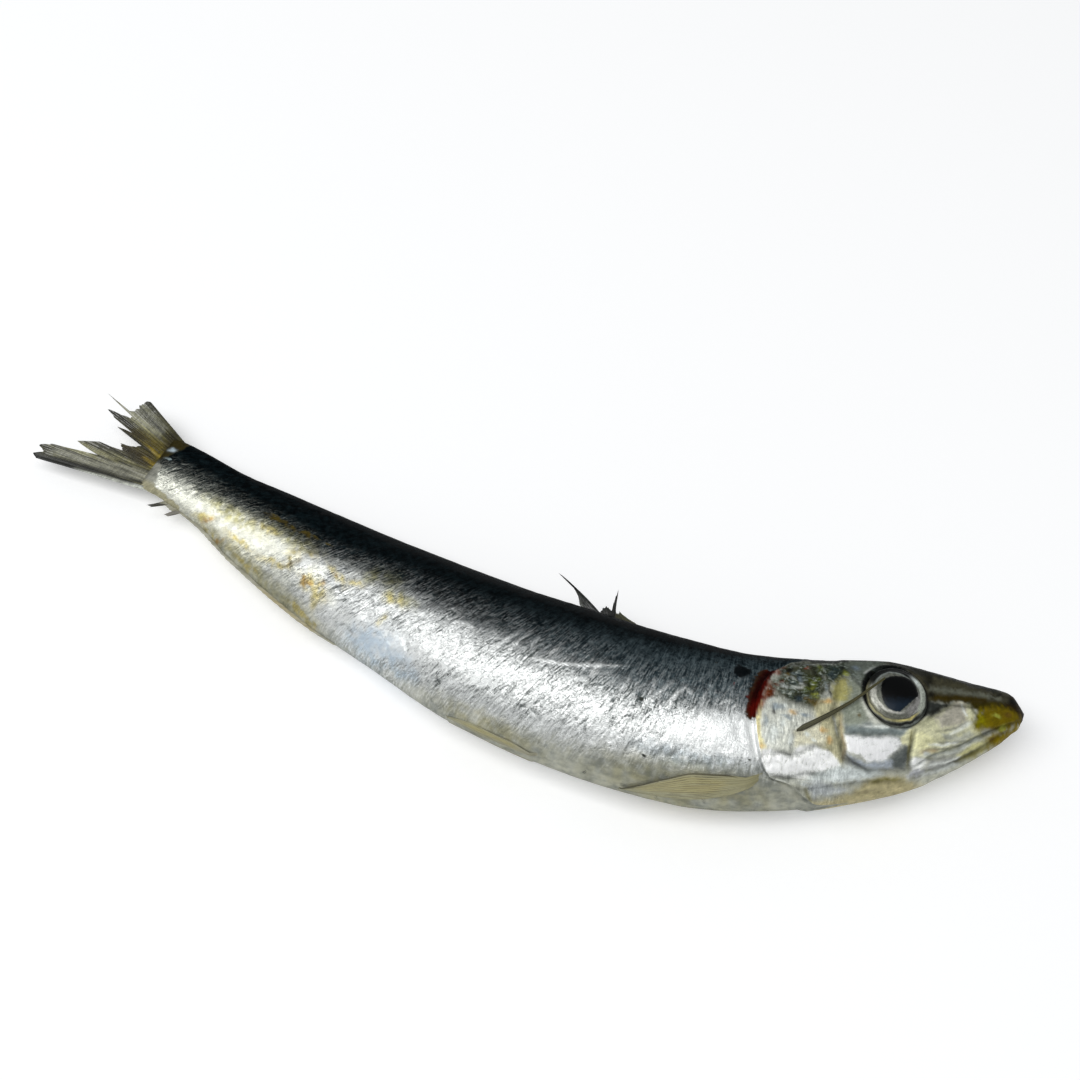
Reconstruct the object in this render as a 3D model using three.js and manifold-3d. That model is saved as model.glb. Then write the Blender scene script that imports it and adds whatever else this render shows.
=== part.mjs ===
// A whole raw sardine that lies on its left flank, bent as a limp fish settles.
// Millimetres: +X runs towards the snout, +Y towards the back, +Z up.
import * as THREE from "three";
import { mergeVertices } from "three/addons/utils/BufferGeometryUtils.js";
import Module from "manifold-3d";

const wasm = await Module();
wasm.setup();

// Driving dimensions of the trunk and head
// "at" is the distance from the snout along the spine. Back and belly are the reach
// from the spine to each edge, and half is half the thickness from flank to flank.
// Round shapes the upper half of the section: 1 is an ellipse, less is squarer.
const bodyLength = 150;
const sections = [
  { at: 0, back: 1.0, belly: 1.0, half: 0.7, round: 0.8 },
  { at: 1, back: 2.9, belly: 2.4, half: 1.5, round: 0.75 },
  { at: 2.2, back: 3.6, belly: 3.2, half: 2.0, round: 0.7 },
  { at: 4, back: 4.1, belly: 4.5, half: 2.6, round: 0.65 },
  { at: 7, back: 4.8, belly: 6.2, half: 3.4, round: 0.6 },
  { at: 12, back: 6.2, belly: 8.7, half: 4.4, round: 0.55 },
  { at: 20, back: 8.0, belly: 11.8, half: 5.7, round: 0.5 },
  { at: 30, back: 8.7, belly: 13.4, half: 7.0, round: 0.58 },
  { at: 41, back: 9.7, belly: 14.4, half: 7.9, round: 0.75 },
  { at: 52, back: 10.7, belly: 15.0, half: 8.5, round: 0.9 },
  { at: 68, back: 11.0, belly: 14.8, half: 8.7, round: 0.95 },
  { at: 82, back: 10.3, belly: 14.3, half: 8.1, round: 0.95 },
  { at: 98, back: 9.4, belly: 12.2, half: 7.0, round: 0.95 },
  { at: 112, back: 8.3, belly: 10.9, half: 5.6, round: 0.95 },
  { at: 127, back: 6.6, belly: 8.8, half: 3.8, round: 0.95 },
  { at: 139, back: 5.4, belly: 6.3, half: 2.4, round: 0.95 },
  { at: 150, back: 5.6, belly: 5.3, half: 1.5, round: 0.95 },
];
const keelSharpness = 1.15; // over 1 narrows the belly to a keel

// The bend and the pose: heading is the turn of the spine in plan, in degrees,
// and rise is the height of the spine above the surface the fish lies on.
const bend = [
  { at: 0, heading: 20.7 },
  { at: 30, heading: 20.7 },
  { at: 40, heading: 17.4 },
  { at: 52, heading: 5.6 },
  { at: 75, heading: -5.4 },
  { at: 97, heading: -12.3 },
  { at: 120, heading: -16 },
  { at: 138, heading: -14.9 },
  { at: 150, heading: -10.4 },
];
const lie = [
  { at: 0, rise: 6.8 },
  { at: 30, rise: 7.0 },
  { at: 60, rise: 7.9 },
  { at: 82, rise: 7.8 },
  { at: 98, rise: 6.8 },
  { at: 112, rise: 5.8 },
  { at: 150, rise: 4.5 },
];
const rollDegrees = 5.5; // the upper flank leans this much towards the belly

// The rear edge of the gill cover: its station at each angle up the flank
const gillEdge = [
  { angle: -90, at: 28 },
  { angle: -78, at: 33 },
  { angle: -66, at: 35 },
  { angle: -54, at: 37 },
  { angle: -48, at: 39.8 },
  { angle: -35, at: 41 },
  { angle: -10, at: 41.8 },
  { angle: 10, at: 41 },
  { angle: 24, at: 39.5 },
  { angle: 42, at: 36.2 },
  { angle: 62, at: 33.5 },
  { angle: 90, at: 32.5 },
];
const coverRise = 0.55;
const coverLength = 12;
const coverFade = { belly: [-88, -72], nape: [40, 58] }; // angles between which the cover dies out
const slitDepth = 0.7;
const slitFloor = 0.6; // length of the slit's bottom, before it rises again
const slitLength = 2.6;
const snoutCap = 0.4; // how far the rounded snout stands out before the first section

// Lines and plates of the head, as [station, height above the spine]
const preopercleLine = [[29, 3.5], [30.2, -1.7], [29.2, -7], [24.8, -9.3], [21, -10.6]];
const jawHingeLine = [[18, -4.2], [19, -7.8], [19.8, -10.2]];
const mouthLine = [[0.6, -1.2], [4.5, -3.6], [9.2, -6.3], [12.4, -8], [16.5, -8.9]];
const browLine = [[9, 3.6], [14, 5.4], [20, 7.2], [27, 7]];
const upperJawPlate = { from: [4.5, -1.4], to: [16.6, -4.9], narrow: 1.1, wide: 2.7, rise: 0.4 };
const cheekPlate = { from: [21.6, -6.6], to: [27, -6.3], narrow: 2.2, wide: 2.5, rise: 0.25 };
const nostril = { at: [4.2, 2.5], radius: 0.7, depth: 0.35 };
const grooveWidth = 0.8;
const grooveDepth = 0.35;
const plateEdge = { inner: 0.75, outer: 1.15 }; // shares of a plate's width between which it slopes

// The eyes
const eyeAt = 20.2;
const eyeHeight = 1.3;
const eyeRadius = 4.7;
const eyeBulge = 2.4;
const eyeSunk = 1.5;
const eyeTurnDegrees = 6; // towards the snout
const clearance = 0.3;

// The tail fin, torn as its rays are: share across from the belly edge to the back
// edge, and the length of the ray there
const tailRays = [
  [0, 22.4], [0.03, 23.1], [0.06, 21.4], [0.105, 23], [0.155, 21], [0.19, 16.2], [0.222, 12.6],
  [0.267, 17.6], [0.35, 13.7], [0.375, 9.3], [0.443, 10.4], [0.49, 8], [0.545, 7], [0.573, 13.2],
  [0.61, 10], [0.628, 15], [0.652, 17.2], [0.7, 13.2], [0.75, 11.8], [0.764, 19.2], [0.8, 13],
  [0.885, 12.7], [0.98, 12.3], [1, 11.8],
];
const tailRoot = { low: -5.2, high: 5.4, thick: 2.4 };
const tailSpreadDegrees = { low: -10, high: 21.5 };
const tailFleshLength = 4;
const tailRipple = { rise: 0.25, turns: 21, length: 22 }; // the rays aren't all in one plane
const tailEdgeShare = 0.05; // least thickness of the fleshy root, as a share of the full one

// The fins along the edges of the body: root station, ray length and sweep from the
// body's line, in degrees
const dorsalRays = [
  [61, 2, 31], [61.8, 2.2, 33], [62.6, 2.5, 37], [63.3, 2.4, 41], [63.9, 2.6, 46], [64.6, 1.9, 50],
  [65.2, 1.6, 56], [65.7, 1.5, 62], [66.4, 1.5, 78], [66.85, 5, 82], [67.1, 1.4, 76], [67.4, 2.2, 62],
  [67.85, 1.2, 27.5], [67.9, 10.1, 27.5], [68.4, 8.9, 29.5], [69, 8, 31], [69.7, 6.7, 34],
  [70.5, 4.8, 38], [71.2, 2.9, 42], [71.9, 1.3, 44],
];
const analRays = [
  [104, 1, 16], [108, 1.5, 18], [112, 1.6, 18], [116, 1.5, 18], [120, 1.5, 17], [124, 1.5, 16],
  [128, 1.5, 15], [132, 1.4, 14], [135, 1.4, 12], [138, 1.4, 12], [141, 1.3, 14], [142, 1.1, 34],
  [142.2, 2.3, 44], [142.9, 2.2, 50], [143.1, 0.9, 42], [145, 0.8, 36], [145.2, 3.1, 36],
  [146, 2.9, 42], [146.2, 0.8, 42],
];
const finLean = 0.1; // how far the dorsal and anal fins lean off the middle plane
const finThick = 0.5;
const rayTipThick = 0.32;
const finGap = 0.35; // from the body's even surface to a fin
const pairedFinLift = finGap + finThick / 2 + 0.1; // to the middle of a fin that lies flat

// The paired fins lie flat on the flank: station, and the angles of both edges there
const pectoral = [
  { at: 42.8, upper: -49, lower: -59 },
  { at: 45, upper: -48, lower: -65 },
  { at: 48.5, upper: -49, lower: -72 },
  { at: 52, upper: -57, lower: -76 },
  { at: 55, upper: -68, lower: -79 },
  { at: 57.4, upper: -78, lower: -81 },
];
const pelvic = [
  { at: 70.6, upper: -76, lower: -82 },
  { at: 74, upper: -72, lower: -84 },
  { at: 79, upper: -72, lower: -84 },
  { at: 83.2, upper: -78, lower: -82 },
];

// A loose ray, broken from a fin, that lies across the cheek onto the eye
const looseRay = {
  from: [36, -4.4],
  to: [21.8, 3.4],
  wide: 0.95,
  narrow: 0.35,
  low: 0.6,
  high: 1.3,
  climb: [0.55, 0.9], // shares of its length between which it climbs onto the eye
};

// How finely the surfaces are cut
const headRows = 40;
const headCrowding = 1.15; // over 1 sets the rows closer at the snout
const slitRows = [0.3, 0.9, 1.7, slitLength];
const trunkRows = 36;
const flankSteps = 28;
const edgeCrowding = 0.2; // sets the steps closer at the sharp edges of the body
const eyeSegments = { round: 24, across: 12 };
const tailRows = 7;
const tailRowCrowding = 1.2; // over 1 sets the rows closer at the root
const edgeFinRows = 4;
const pairedFinRows = 13;
const pairedFinColumns = 5;
const looseRaySteps = 10;
const mergeTolerance = 0.0001;

const radians = THREE.MathUtils.degToRad;
const lerp = THREE.MathUtils.lerp;
const clamp = THREE.MathUtils.clamp;
const smoothstep = THREE.MathUtils.smoothstep;

// A smooth curve through the listed values that never overshoots them
function smoothCurve(list, key, value) {
  const x = list.map((entry) => entry[key]);
  const y = list.map((entry) => entry[value]);
  const step = x.slice(1).map((next, i) => next - x[i]);
  const rate = step.map((width, i) => (y[i + 1] - y[i]) / width);
  const slope = x.map((_, i) => {
    if (i === 0) return rate[0];
    if (i === x.length - 1) return rate[i - 1];
    if (rate[i - 1] * rate[i] <= 0) return 0;
    const before = 2 * step[i] + step[i - 1];
    const after = step[i] + 2 * step[i - 1];
    return (before + after) / (before / rate[i - 1] + after / rate[i]);
  });
  return (at) => {
    const here = clamp(at, x[0], x[x.length - 1]);
    let i = 0;
    while (i < step.length - 1 && here > x[i + 1]) i += 1;
    const t = (here - x[i]) / step[i];
    const rest = 1 - t;
    return (1 + 2 * t) * rest * rest * y[i] + t * rest * rest * step[i] * slope[i]
      + t * t * (3 - 2 * t) * y[i + 1] - t * t * rest * step[i] * slope[i + 1];
  };
}

const backReach = smoothCurve(sections, "at", "back");
const bellyReach = smoothCurve(sections, "at", "belly");
const halfThickness = smoothCurve(sections, "at", "half");
const headingAt = smoothCurve(bend, "at", "heading");
const riseAt = smoothCurve(lie, "at", "rise");
const upperRoundness = smoothCurve(sections, "at", "round");
const gillEdgeAt = smoothCurve(gillEdge, "angle", "at");

// The spine in plan, walked from the snout in half-millimetre steps
const spineStep = 0.5;
const spine = [new THREE.Vector2(0, 0)];
for (let at = spineStep; at <= bodyLength + spineStep; at += spineStep) {
  const turn = radians(headingAt(at - spineStep / 2));
  const last = spine[spine.length - 1];
  const step = new THREE.Vector2(Math.cos(turn), Math.sin(turn)).multiplyScalar(spineStep);
  spine.push(last.clone().sub(step));
}

// Centre and directions of the body at a station
function frameAt(at) {
  const place = clamp(at / spineStep, 0, spine.length - 1.001);
  const i = Math.floor(place);
  const plan = spine[i].clone().lerp(spine[i + 1], place - i);
  const turn = radians(headingAt(at));
  const roll = radians(rollDegrees);
  const side = new THREE.Vector3(-Math.sin(turn), Math.cos(turn), 0);
  const up = new THREE.Vector3(0, 0, 1);
  return {
    centre: new THREE.Vector3(plan.x, plan.y, riseAt(at)),
    tailward: new THREE.Vector3(-Math.cos(turn), -Math.sin(turn), 0),
    backward: side.clone().multiplyScalar(Math.cos(roll)).addScaledVector(up, Math.sin(roll)),
    outward: up.clone().multiplyScalar(Math.cos(roll)).addScaledVector(side, -Math.sin(roll)),
  };
}

// Height above the spine and reach to the flank, on an even surface
function sectionAt(at, angle) {
  const rise = Math.sin(radians(angle));
  const level = Math.max(Math.cos(radians(angle)), 0);
  const reach = rise > 0 ? backReach(at) : bellyReach(at);
  const roundness = rise > 0 ? upperRoundness(at) : keelSharpness;
  return { height: reach * rise, reach, flank: halfThickness(at) * level ** roundness };
}

// A point over the surface: flank is 1 on the upper side and -1 on the lower
function bodyPoint(at, angle, flank, lift = 0) {
  const { centre, backward, outward } = frameAt(at);
  const { height, reach, flank: width } = sectionAt(at, angle);
  const normal = new THREE.Vector2(
    Math.sin(radians(angle)) / reach,
    Math.max(Math.cos(radians(angle)), 0) / halfThickness(at),
  ).normalize();
  return centre.clone()
    .addScaledVector(backward, height + lift * normal.x)
    .addScaledVector(outward, flank * (width + lift * normal.y));
}

// Relief of the head
function distanceToLine(point, line) {
  const spot = new THREE.Vector3(point[0], point[1], 0);
  const nearest = new THREE.Vector3();
  let least = Infinity;
  for (let i = 0; i < line.length - 1; i += 1) {
    const from = new THREE.Vector3(line[i][0], line[i][1], 0);
    const to = new THREE.Vector3(line[i + 1][0], line[i + 1][1], 0);
    new THREE.Line3(from, to).closestPointToPoint(spot, true, nearest);
    least = Math.min(least, nearest.distanceTo(spot));
  }
  return least;
}

function groove(point, line) {
  return -grooveDepth * Math.exp(-((distanceToLine(point, line) / grooveWidth) ** 2));
}

function plate(point, { from, to, narrow, wide, rise }) {
  const along = [to[0] - from[0], to[1] - from[1]];
  const length = Math.hypot(...along);
  const share = ((point[0] - from[0]) * along[0] + (point[1] - from[1]) * along[1]) / length ** 2;
  const held = clamp(share, 0, 1);
  const away = Math.hypot(point[0] - from[0] - held * along[0], point[1] - from[1] - held * along[1]);
  const edge = lerp(narrow, wide, held);
  return rise * (1 - smoothstep(away, edge * plateEdge.inner, edge * plateEdge.outer));
}

function headRelief(at, angle) {
  const point = [at, sectionAt(at, angle).height];
  const pit = Math.hypot(at - nostril.at[0], point[1] - nostril.at[1]) / nostril.radius;
  return groove(point, preopercleLine) + groove(point, jawHingeLine) + groove(point, mouthLine)
    - groove(point, browLine) + plate(point, upperJawPlate) + plate(point, cheekPlate)
    - nostril.depth * Math.exp(-(pit ** 2));
}

// How strongly the gill cover stands out at an angle: not at all over the nape
function gillStrength(angle) {
  return smoothstep(angle, ...coverFade.belly) * (1 - smoothstep(angle, ...coverFade.nape));
}

// Triangles over a grid of points, closed round the ring when asked
function gridFaces(faces, rows, columns, closed, index) {
  const last = closed ? columns : columns - 1;
  for (let row = 0; row < rows - 1; row += 1) {
    for (let column = 0; column < last; column += 1) {
      const next = (column + 1) % columns;
      const [here, beside] = [index(row, column), index(row, next)];
      const [below, across] = [index(row + 1, column), index(row + 1, next)];
      faces.push(here, beside, across);
      faces.push(here, across, below);
    }
  }
}

function geometryFrom(points, faces) {
  const geometry = new THREE.BufferGeometry().setFromPoints(points);
  geometry.setIndex(faces);
  return geometry;
}

// The ring of the body: up the upper flank from the belly, then down the lower one
const ring = [];
for (const flank of [1, -1]) {
  for (let i = 0; i < flankSteps; i += 1) {
    const share = flank * ((2 * i) / flankSteps - 1);
    ring.push({ flank, angle: 90 * lerp(share, share ** 3, edgeCrowding) });
  }
}

function bodyGeometry() {
  const rows = [];
  for (let i = 0; i <= headRows; i += 1) {
    const share = (i / headRows) ** headCrowding;
    rows.push((edge, strength) => {
      const at = edge * share;
      const swell = smoothstep(at, edge - coverLength, edge);
      return { at, lift: coverRise * strength * swell };
    });
  }
  for (const back of slitRows) {
    rows.push((edge, strength) => {
      const healed = smoothstep(back, slitFloor, slitLength);
      return { at: edge + back, lift: -slitDepth * strength * (1 - healed) };
    });
  }
  for (let i = 1; i <= trunkRows; i += 1) {
    rows.push((edge) => ({ at: lerp(edge + slitLength, bodyLength, i / trunkRows), lift: 0 }));
  }
  const points = [];
  for (const row of rows) {
    for (const { flank, angle } of ring) {
      const { at, lift } = row(gillEdgeAt(angle), gillStrength(angle));
      const point = bodyPoint(at, angle, flank, lift + headRelief(at, angle));
      point.z = Math.max(point.z, 0);
      points.push(point);
    }
  }
  const faces = [];
  gridFaces(faces, rows.length, ring.length, true, (row, column) => row * ring.length + column);
  const start = frameAt(0);
  points.push(start.centre.addScaledVector(start.tailward, -snoutCap), frameAt(bodyLength).centre);
  const [snout, tail] = [points.length - 2, points.length - 1];
  const lastRow = (rows.length - 1) * ring.length;
  for (let column = 0; column < ring.length; column += 1) {
    const next = (column + 1) % ring.length;
    faces.push(snout, next, column);
    faces.push(tail, lastRow + column, lastRow + next);
  }
  return geometryFrom(points, faces);
}

// Solids for cutting
function solidOf(geometry) {
  const bare = geometry.clone();
  bare.deleteAttribute("normal");
  bare.deleteAttribute("uv");
  const merged = mergeVertices(bare, mergeTolerance);
  return new wasm.Manifold(new wasm.Mesh({
    numProp: 3,
    vertProperties: merged.attributes.position.array,
    triVerts: new Uint32Array(merged.index.array),
  }));
}

function geometryOf(solid) {
  const { vertProperties, triVerts } = solid.getMesh();
  const geometry = new THREE.BufferGeometry();
  geometry.setAttribute("position", new THREE.BufferAttribute(vertProperties, 3));
  geometry.setIndex(new THREE.BufferAttribute(triVerts, 1));
  return geometry;
}

function eyeGeometry(flank, grown = 0) {
  const { centre, backward, outward, tailward } = frameAt(eyeAt);
  const angle = THREE.MathUtils.radToDeg(Math.asin(eyeHeight / backReach(eyeAt)));
  const width = sectionAt(eyeAt, angle).flank;
  const turn = radians(eyeTurnDegrees);
  const axis = outward.clone()
    .multiplyScalar(flank * Math.cos(turn))
    .addScaledVector(tailward, -Math.sin(turn));
  const place = centre.clone()
    .addScaledVector(backward, eyeHeight)
    .addScaledVector(outward, flank * (width - eyeSunk));
  const geometry = new THREE.SphereGeometry(1, eyeSegments.round, eyeSegments.across);
  geometry.scale(eyeRadius + grown, eyeBulge + grown, eyeRadius + grown);
  const pole = new THREE.Vector3(0, 1, 0);
  geometry.applyQuaternion(new THREE.Quaternion().setFromUnitVectors(pole, axis));
  geometry.translate(place.x, place.y, place.z);
  return geometry;
}

// A thin plate over a grid of middle points, thickened along the directions given
function plateGeometry(rows, columns, middle) {
  const points = [];
  for (const face of [1, -1]) {
    for (let row = 0; row < rows; row += 1) {
      for (let column = 0; column < columns; column += 1) {
        const { point, normal, thick } = middle(row, column);
        points.push(point.clone().addScaledVector(normal, (face * thick) / 2));
      }
    }
  }
  const half = rows * columns;
  const faces = [];
  gridFaces(faces, rows, columns, false, (row, column) => row * columns + column);
  const upper = faces.slice();
  for (let i = 0; i < upper.length; i += 3) {
    faces.push(upper[i] + half, upper[i + 2] + half, upper[i + 1] + half);
  }
  const rim = [];
  for (let column = 0; column < columns - 1; column += 1) {
    rim.push(column);
  }
  for (let row = 0; row < rows - 1; row += 1) {
    rim.push(row * columns + columns - 1);
  }
  for (let column = columns - 1; column > 0; column -= 1) {
    rim.push((rows - 1) * columns + column);
  }
  for (let row = rows - 1; row > 0; row -= 1) {
    rim.push(row * columns);
  }
  rim.forEach((here, i) => {
    const next = rim[(i + 1) % rim.length];
    faces.push(here, here + half, next + half);
    faces.push(here, next + half, next);
  });
  return outwardFacing(geometryFrom(points, faces));
}

// Turns every face round when the closed surface came out inside out
function outwardFacing(geometry) {
  const place = geometry.attributes.position;
  const corners = [new THREE.Vector3(), new THREE.Vector3(), new THREE.Vector3()];
  const index = geometry.index.array;
  let volume = 0;
  for (let i = 0; i < index.length; i += 3) {
    corners.forEach((corner, k) => corner.fromBufferAttribute(place, index[i + k]));
    volume += corners[0].dot(corners[1].clone().cross(corners[2])) / 6;
  }
  if (volume < 0) {
    for (let i = 0; i < index.length; i += 3) {
      [index[i + 1], index[i + 2]] = [index[i + 2], index[i + 1]];
    }
  }
  return geometry;
}

// The tail fin fans out of the fleshy tail base
function tailFinGeometry() {
  const { centre, tailward, backward, outward } = frameAt(bodyLength);
  const { rise, turns, length: rippleLength } = tailRipple;
  return plateGeometry(tailRows, tailRays.length, (row, column) => {
    const [share, length] = tailRays[column];
    const down = row / (tailRows - 1);
    const along = finGap + down ** tailRowCrowding * length;
    const fan = radians(lerp(tailSpreadDegrees.low, tailSpreadDegrees.high, share));
    const across = lerp(tailRoot.low, tailRoot.high, share) + (along - finGap) * Math.sin(fan);
    const flesh = 1 - smoothstep(along, 0, tailFleshLength);
    const edgeOn = Math.sqrt(Math.max(1 - (2 * share - 1) ** 2, tailEdgeShare));
    const ripple = rise * Math.sin(share * turns) * (along / rippleLength);
    const point = centre.clone()
      .addScaledVector(tailward, finGap + (along - finGap) * Math.cos(fan))
      .addScaledVector(backward, across)
      .addScaledVector(outward, ripple);
    const blade = lerp(finThick, rayTipThick, down);
    const root = (tailRoot.thick * edgeOn - finThick) * flesh * edgeOn;
    return { point, normal: outward, thick: blade + root };
  });
}

// A row of swept rays along the back (side 1) or the belly (side -1)
function edgeFinGeometry(rays, side) {
  return plateGeometry(edgeFinRows, rays.length, (row, column) => {
    const [at, length, sweep] = rays[column];
    const { tailward, backward, outward } = frameAt(at);
    const root = bodyPoint(at, side * 90, 1, finGap);
    const away = backward.clone().addScaledVector(outward, finLean).multiplyScalar(side).normalize();
    const ray = tailward.clone()
      .multiplyScalar(Math.cos(radians(sweep)))
      .addScaledVector(away, Math.sin(radians(sweep)));
    const down = row / (edgeFinRows - 1);
    const point = root.addScaledVector(ray, down * length);
    return { point, normal: outward, thick: lerp(finThick, rayTipThick, down) };
  });
}

// A paired fin that lies flat on the flank and follows its curve
function pairedFinGeometry(outline, flank) {
  const first = outline[0].at;
  const last = outline[outline.length - 1].at;
  const upper = smoothCurve(outline, "at", "upper");
  const lower = smoothCurve(outline, "at", "lower");
  return plateGeometry(pairedFinRows, pairedFinColumns, (row, column) => {
    const down = row / (pairedFinRows - 1);
    const at = lerp(first, last, down);
    const angle = lerp(lower(at), upper(at), column / (pairedFinColumns - 1));
    const point = bodyPoint(at, angle, flank, pairedFinLift);
    const normal = bodyPoint(at, angle, flank, pairedFinLift + 1).sub(point).normalize();
    return { point, normal, thick: lerp(finThick, rayTipThick, down) };
  });
}

function looseRayGeometry() {
  const { from, to, wide, narrow, low, high, climb } = looseRay;
  return plateGeometry(looseRaySteps + 1, 2, (row, column) => {
    const share = row / looseRaySteps;
    const at = lerp(from[0], to[0], share);
    const across = (column - 0.5) * lerp(wide, narrow, share);
    const height = lerp(from[1], to[1], share) + across;
    const reach = height > 0 ? backReach(at) : bellyReach(at);
    const angle = THREE.MathUtils.radToDeg(Math.asin(height / reach));
    const lift = lerp(low, high, smoothstep(share, ...climb));
    const point = bodyPoint(at, angle, 1, lift);
    const normal = bodyPoint(at, angle, 1, lift + 1).sub(point).normalize();
    return { point, normal, thick: rayTipThick };
  });
}

// Finishes
const skin = new THREE.MeshStandardMaterial({ color: 0xb4babb, roughness: 0.32, metalness: 0.7 });
const eyeball = new THREE.MeshStandardMaterial({ color: 0x1b1e24, roughness: 0.12, metalness: 0.1 });
const finOlive = new THREE.MeshStandardMaterial({ color: 0x6f6a45, roughness: 0.5, metalness: 0 });
const finPale = new THREE.MeshStandardMaterial({ color: 0xa9a27e, roughness: 0.5, metalness: 0 });

const sardine = new THREE.Group();
function add(name, geometry, material) {
  const mesh = new THREE.Mesh(geometry, material);
  mesh.name = name;
  sardine.add(mesh);
}

// Assembly: the eyes sit in sockets cut in the head
const sides = [["right", 1], ["left", -1]];
let body = solidOf(outwardFacing(bodyGeometry()));
for (const [, flank] of sides) {
  body = body.subtract(solidOf(eyeGeometry(flank, clearance)));
}
add("body", geometryOf(body), skin);
add("caudal_fin", tailFinGeometry(), finOlive);
add("dorsal_fin", edgeFinGeometry(dorsalRays, 1), finOlive);
add("anal_fin", edgeFinGeometry(analRays, -1), finPale);
add("loose_fin_ray", looseRayGeometry(), finOlive);
for (const [side, flank] of sides) {
  add(`eye_${side}`, eyeGeometry(flank), eyeball);
  add(`pectoral_fin_${side}`, pairedFinGeometry(pectoral, flank), finPale);
  add(`pelvic_fin_${side}`, pairedFinGeometry(pelvic, flank), finPale);
}

// The origin is the middle of the footprint, on the surface the fish lies on
const footprint = new THREE.Box3().setFromObject(sardine);
const middle = footprint.getCenter(new THREE.Vector3());
sardine.position.set(-middle.x, -middle.y, 0);

export default sardine;
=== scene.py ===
# A whole raw sardine on its left flank: skin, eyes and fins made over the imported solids.
# Shapes are worked out in millimetres. A station is the distance from the snout along
# the spine, and a height is the distance from the spine towards the back.
import itertools
import math

import bpy
import numpy as np
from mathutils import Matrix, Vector


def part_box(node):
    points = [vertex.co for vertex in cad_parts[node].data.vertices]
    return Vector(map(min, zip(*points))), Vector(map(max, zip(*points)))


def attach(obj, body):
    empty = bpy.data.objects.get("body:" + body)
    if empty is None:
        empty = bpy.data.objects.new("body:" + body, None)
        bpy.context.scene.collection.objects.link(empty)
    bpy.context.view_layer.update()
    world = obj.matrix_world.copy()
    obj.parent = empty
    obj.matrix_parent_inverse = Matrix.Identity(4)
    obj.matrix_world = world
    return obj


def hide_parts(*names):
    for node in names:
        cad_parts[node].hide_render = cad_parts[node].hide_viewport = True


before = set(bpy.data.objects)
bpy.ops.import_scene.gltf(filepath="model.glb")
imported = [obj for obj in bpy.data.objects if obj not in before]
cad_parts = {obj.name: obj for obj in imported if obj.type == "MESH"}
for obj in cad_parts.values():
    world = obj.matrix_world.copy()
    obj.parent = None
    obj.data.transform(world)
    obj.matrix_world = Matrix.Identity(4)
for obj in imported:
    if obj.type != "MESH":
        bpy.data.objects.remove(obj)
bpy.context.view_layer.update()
millimetre = 0.001

fish = dict(
    length=150.0,
    keelSharpness=1.15,  # over 1 narrows the belly to a keel
    roll=5.5,  # degrees that the upper flank leans towards the belly
    # station, back, belly, half thickness, squareness of the upper half
    sections=[
        (0, 1.0, 1.0, 0.7, 0.8), (1, 2.9, 2.4, 1.5, 0.75), (2.2, 3.6, 3.2, 2.0, 0.7),
        (4, 4.1, 4.5, 2.6, 0.65), (7, 4.8, 6.2, 3.4, 0.6), (12, 6.2, 8.7, 4.4, 0.55),
        (20, 8.0, 11.8, 5.7, 0.5), (30, 8.7, 13.4, 7.0, 0.58), (41, 9.7, 14.4, 7.9, 0.75),
        (52, 10.7, 15.0, 8.5, 0.9), (68, 11.0, 14.8, 8.7, 0.95), (82, 10.3, 14.3, 8.1, 0.95),
        (98, 9.4, 12.2, 7.0, 0.95), (112, 8.3, 10.9, 5.6, 0.95), (127, 6.6, 8.8, 3.8, 0.95),
        (139, 5.4, 6.3, 2.4, 0.95), (150, 5.6, 5.3, 1.5, 0.95),
    ],
    # station, heading of the spine in degrees
    bend=[
        (0, 20.7), (30, 20.7), (40, 17.4), (52, 5.6), (75, -5.4), (97, -12.3), (120, -16),
        (138, -14.9), (150, -10.4),
    ],
    # station, height of the spine over the surface
    lie=[(0, 6.8), (30, 7.0), (60, 7.9), (82, 7.8), (98, 6.8), (112, 5.8), (150, 4.5)],
    # angle up the flank, station of the gill cover's rear edge
    gillEdge=[
        (-90, 28), (-78, 33), (-66, 35), (-54, 37), (-48, 39.8), (-35, 41), (-10, 41.8), (10, 41),
        (24, 39.5), (42, 36.2), (62, 33.5), (90, 32.5),
    ],
    coverRise=0.55,
    coverLength=12,
    coverBelow=(-88, -72),  # angles over which the gill cover begins to stand out
    coverAbove=(40, 58),  # and over which it sinks into the nape
    coverFade=0.3,
    slitDepth=0.8,
    slitLength=2.6,
    slitOpens=(-14, 12),  # angles: the slit gapes where the blood is and closes below
    slitHeals=(0.3, 1.3),
    slitFall=0.2,
    slitShares=(0.35, 0.55),  # of its depth, closed and open
    reliefFrom=(1, 4),  # behind the cover's edge
    reliefAfter=(-1, 3),  # from the snout
    headCrowding=1.1,  # over 1 crowds the rows of points towards the snout
)


def smoothCurve(points, column=1):  # a curve through the points that never overshoots them
    x = np.array([point[0] for point in points], float)
    y = np.array([point[column] for point in points], float)
    step = np.diff(x)
    rate = np.diff(y) / step
    slope = np.zeros(len(x))
    slope[0], slope[-1] = rate[0], rate[-1]
    for i in range(1, len(x) - 1):
        if rate[i - 1] * rate[i] > 0:
            before = 2 * step[i] + step[i - 1]
            after = step[i] + 2 * step[i - 1]
            slope[i] = (before + after) / (before / rate[i - 1] + after / rate[i])

    def curve(at):
        here = np.clip(at, x[0], x[-1])
        i = np.clip(np.searchsorted(x, here, side="right") - 1, 0, len(step) - 1)
        t = (here - x[i]) / step[i]
        rest = 1 - t
        start = (1 + 2 * t) * rest**2 * y[i] + t * rest**2 * step[i] * slope[i]
        return start + t**2 * (3 - 2 * t) * y[i + 1] - t**2 * rest * step[i] * slope[i + 1]

    return curve


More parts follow.
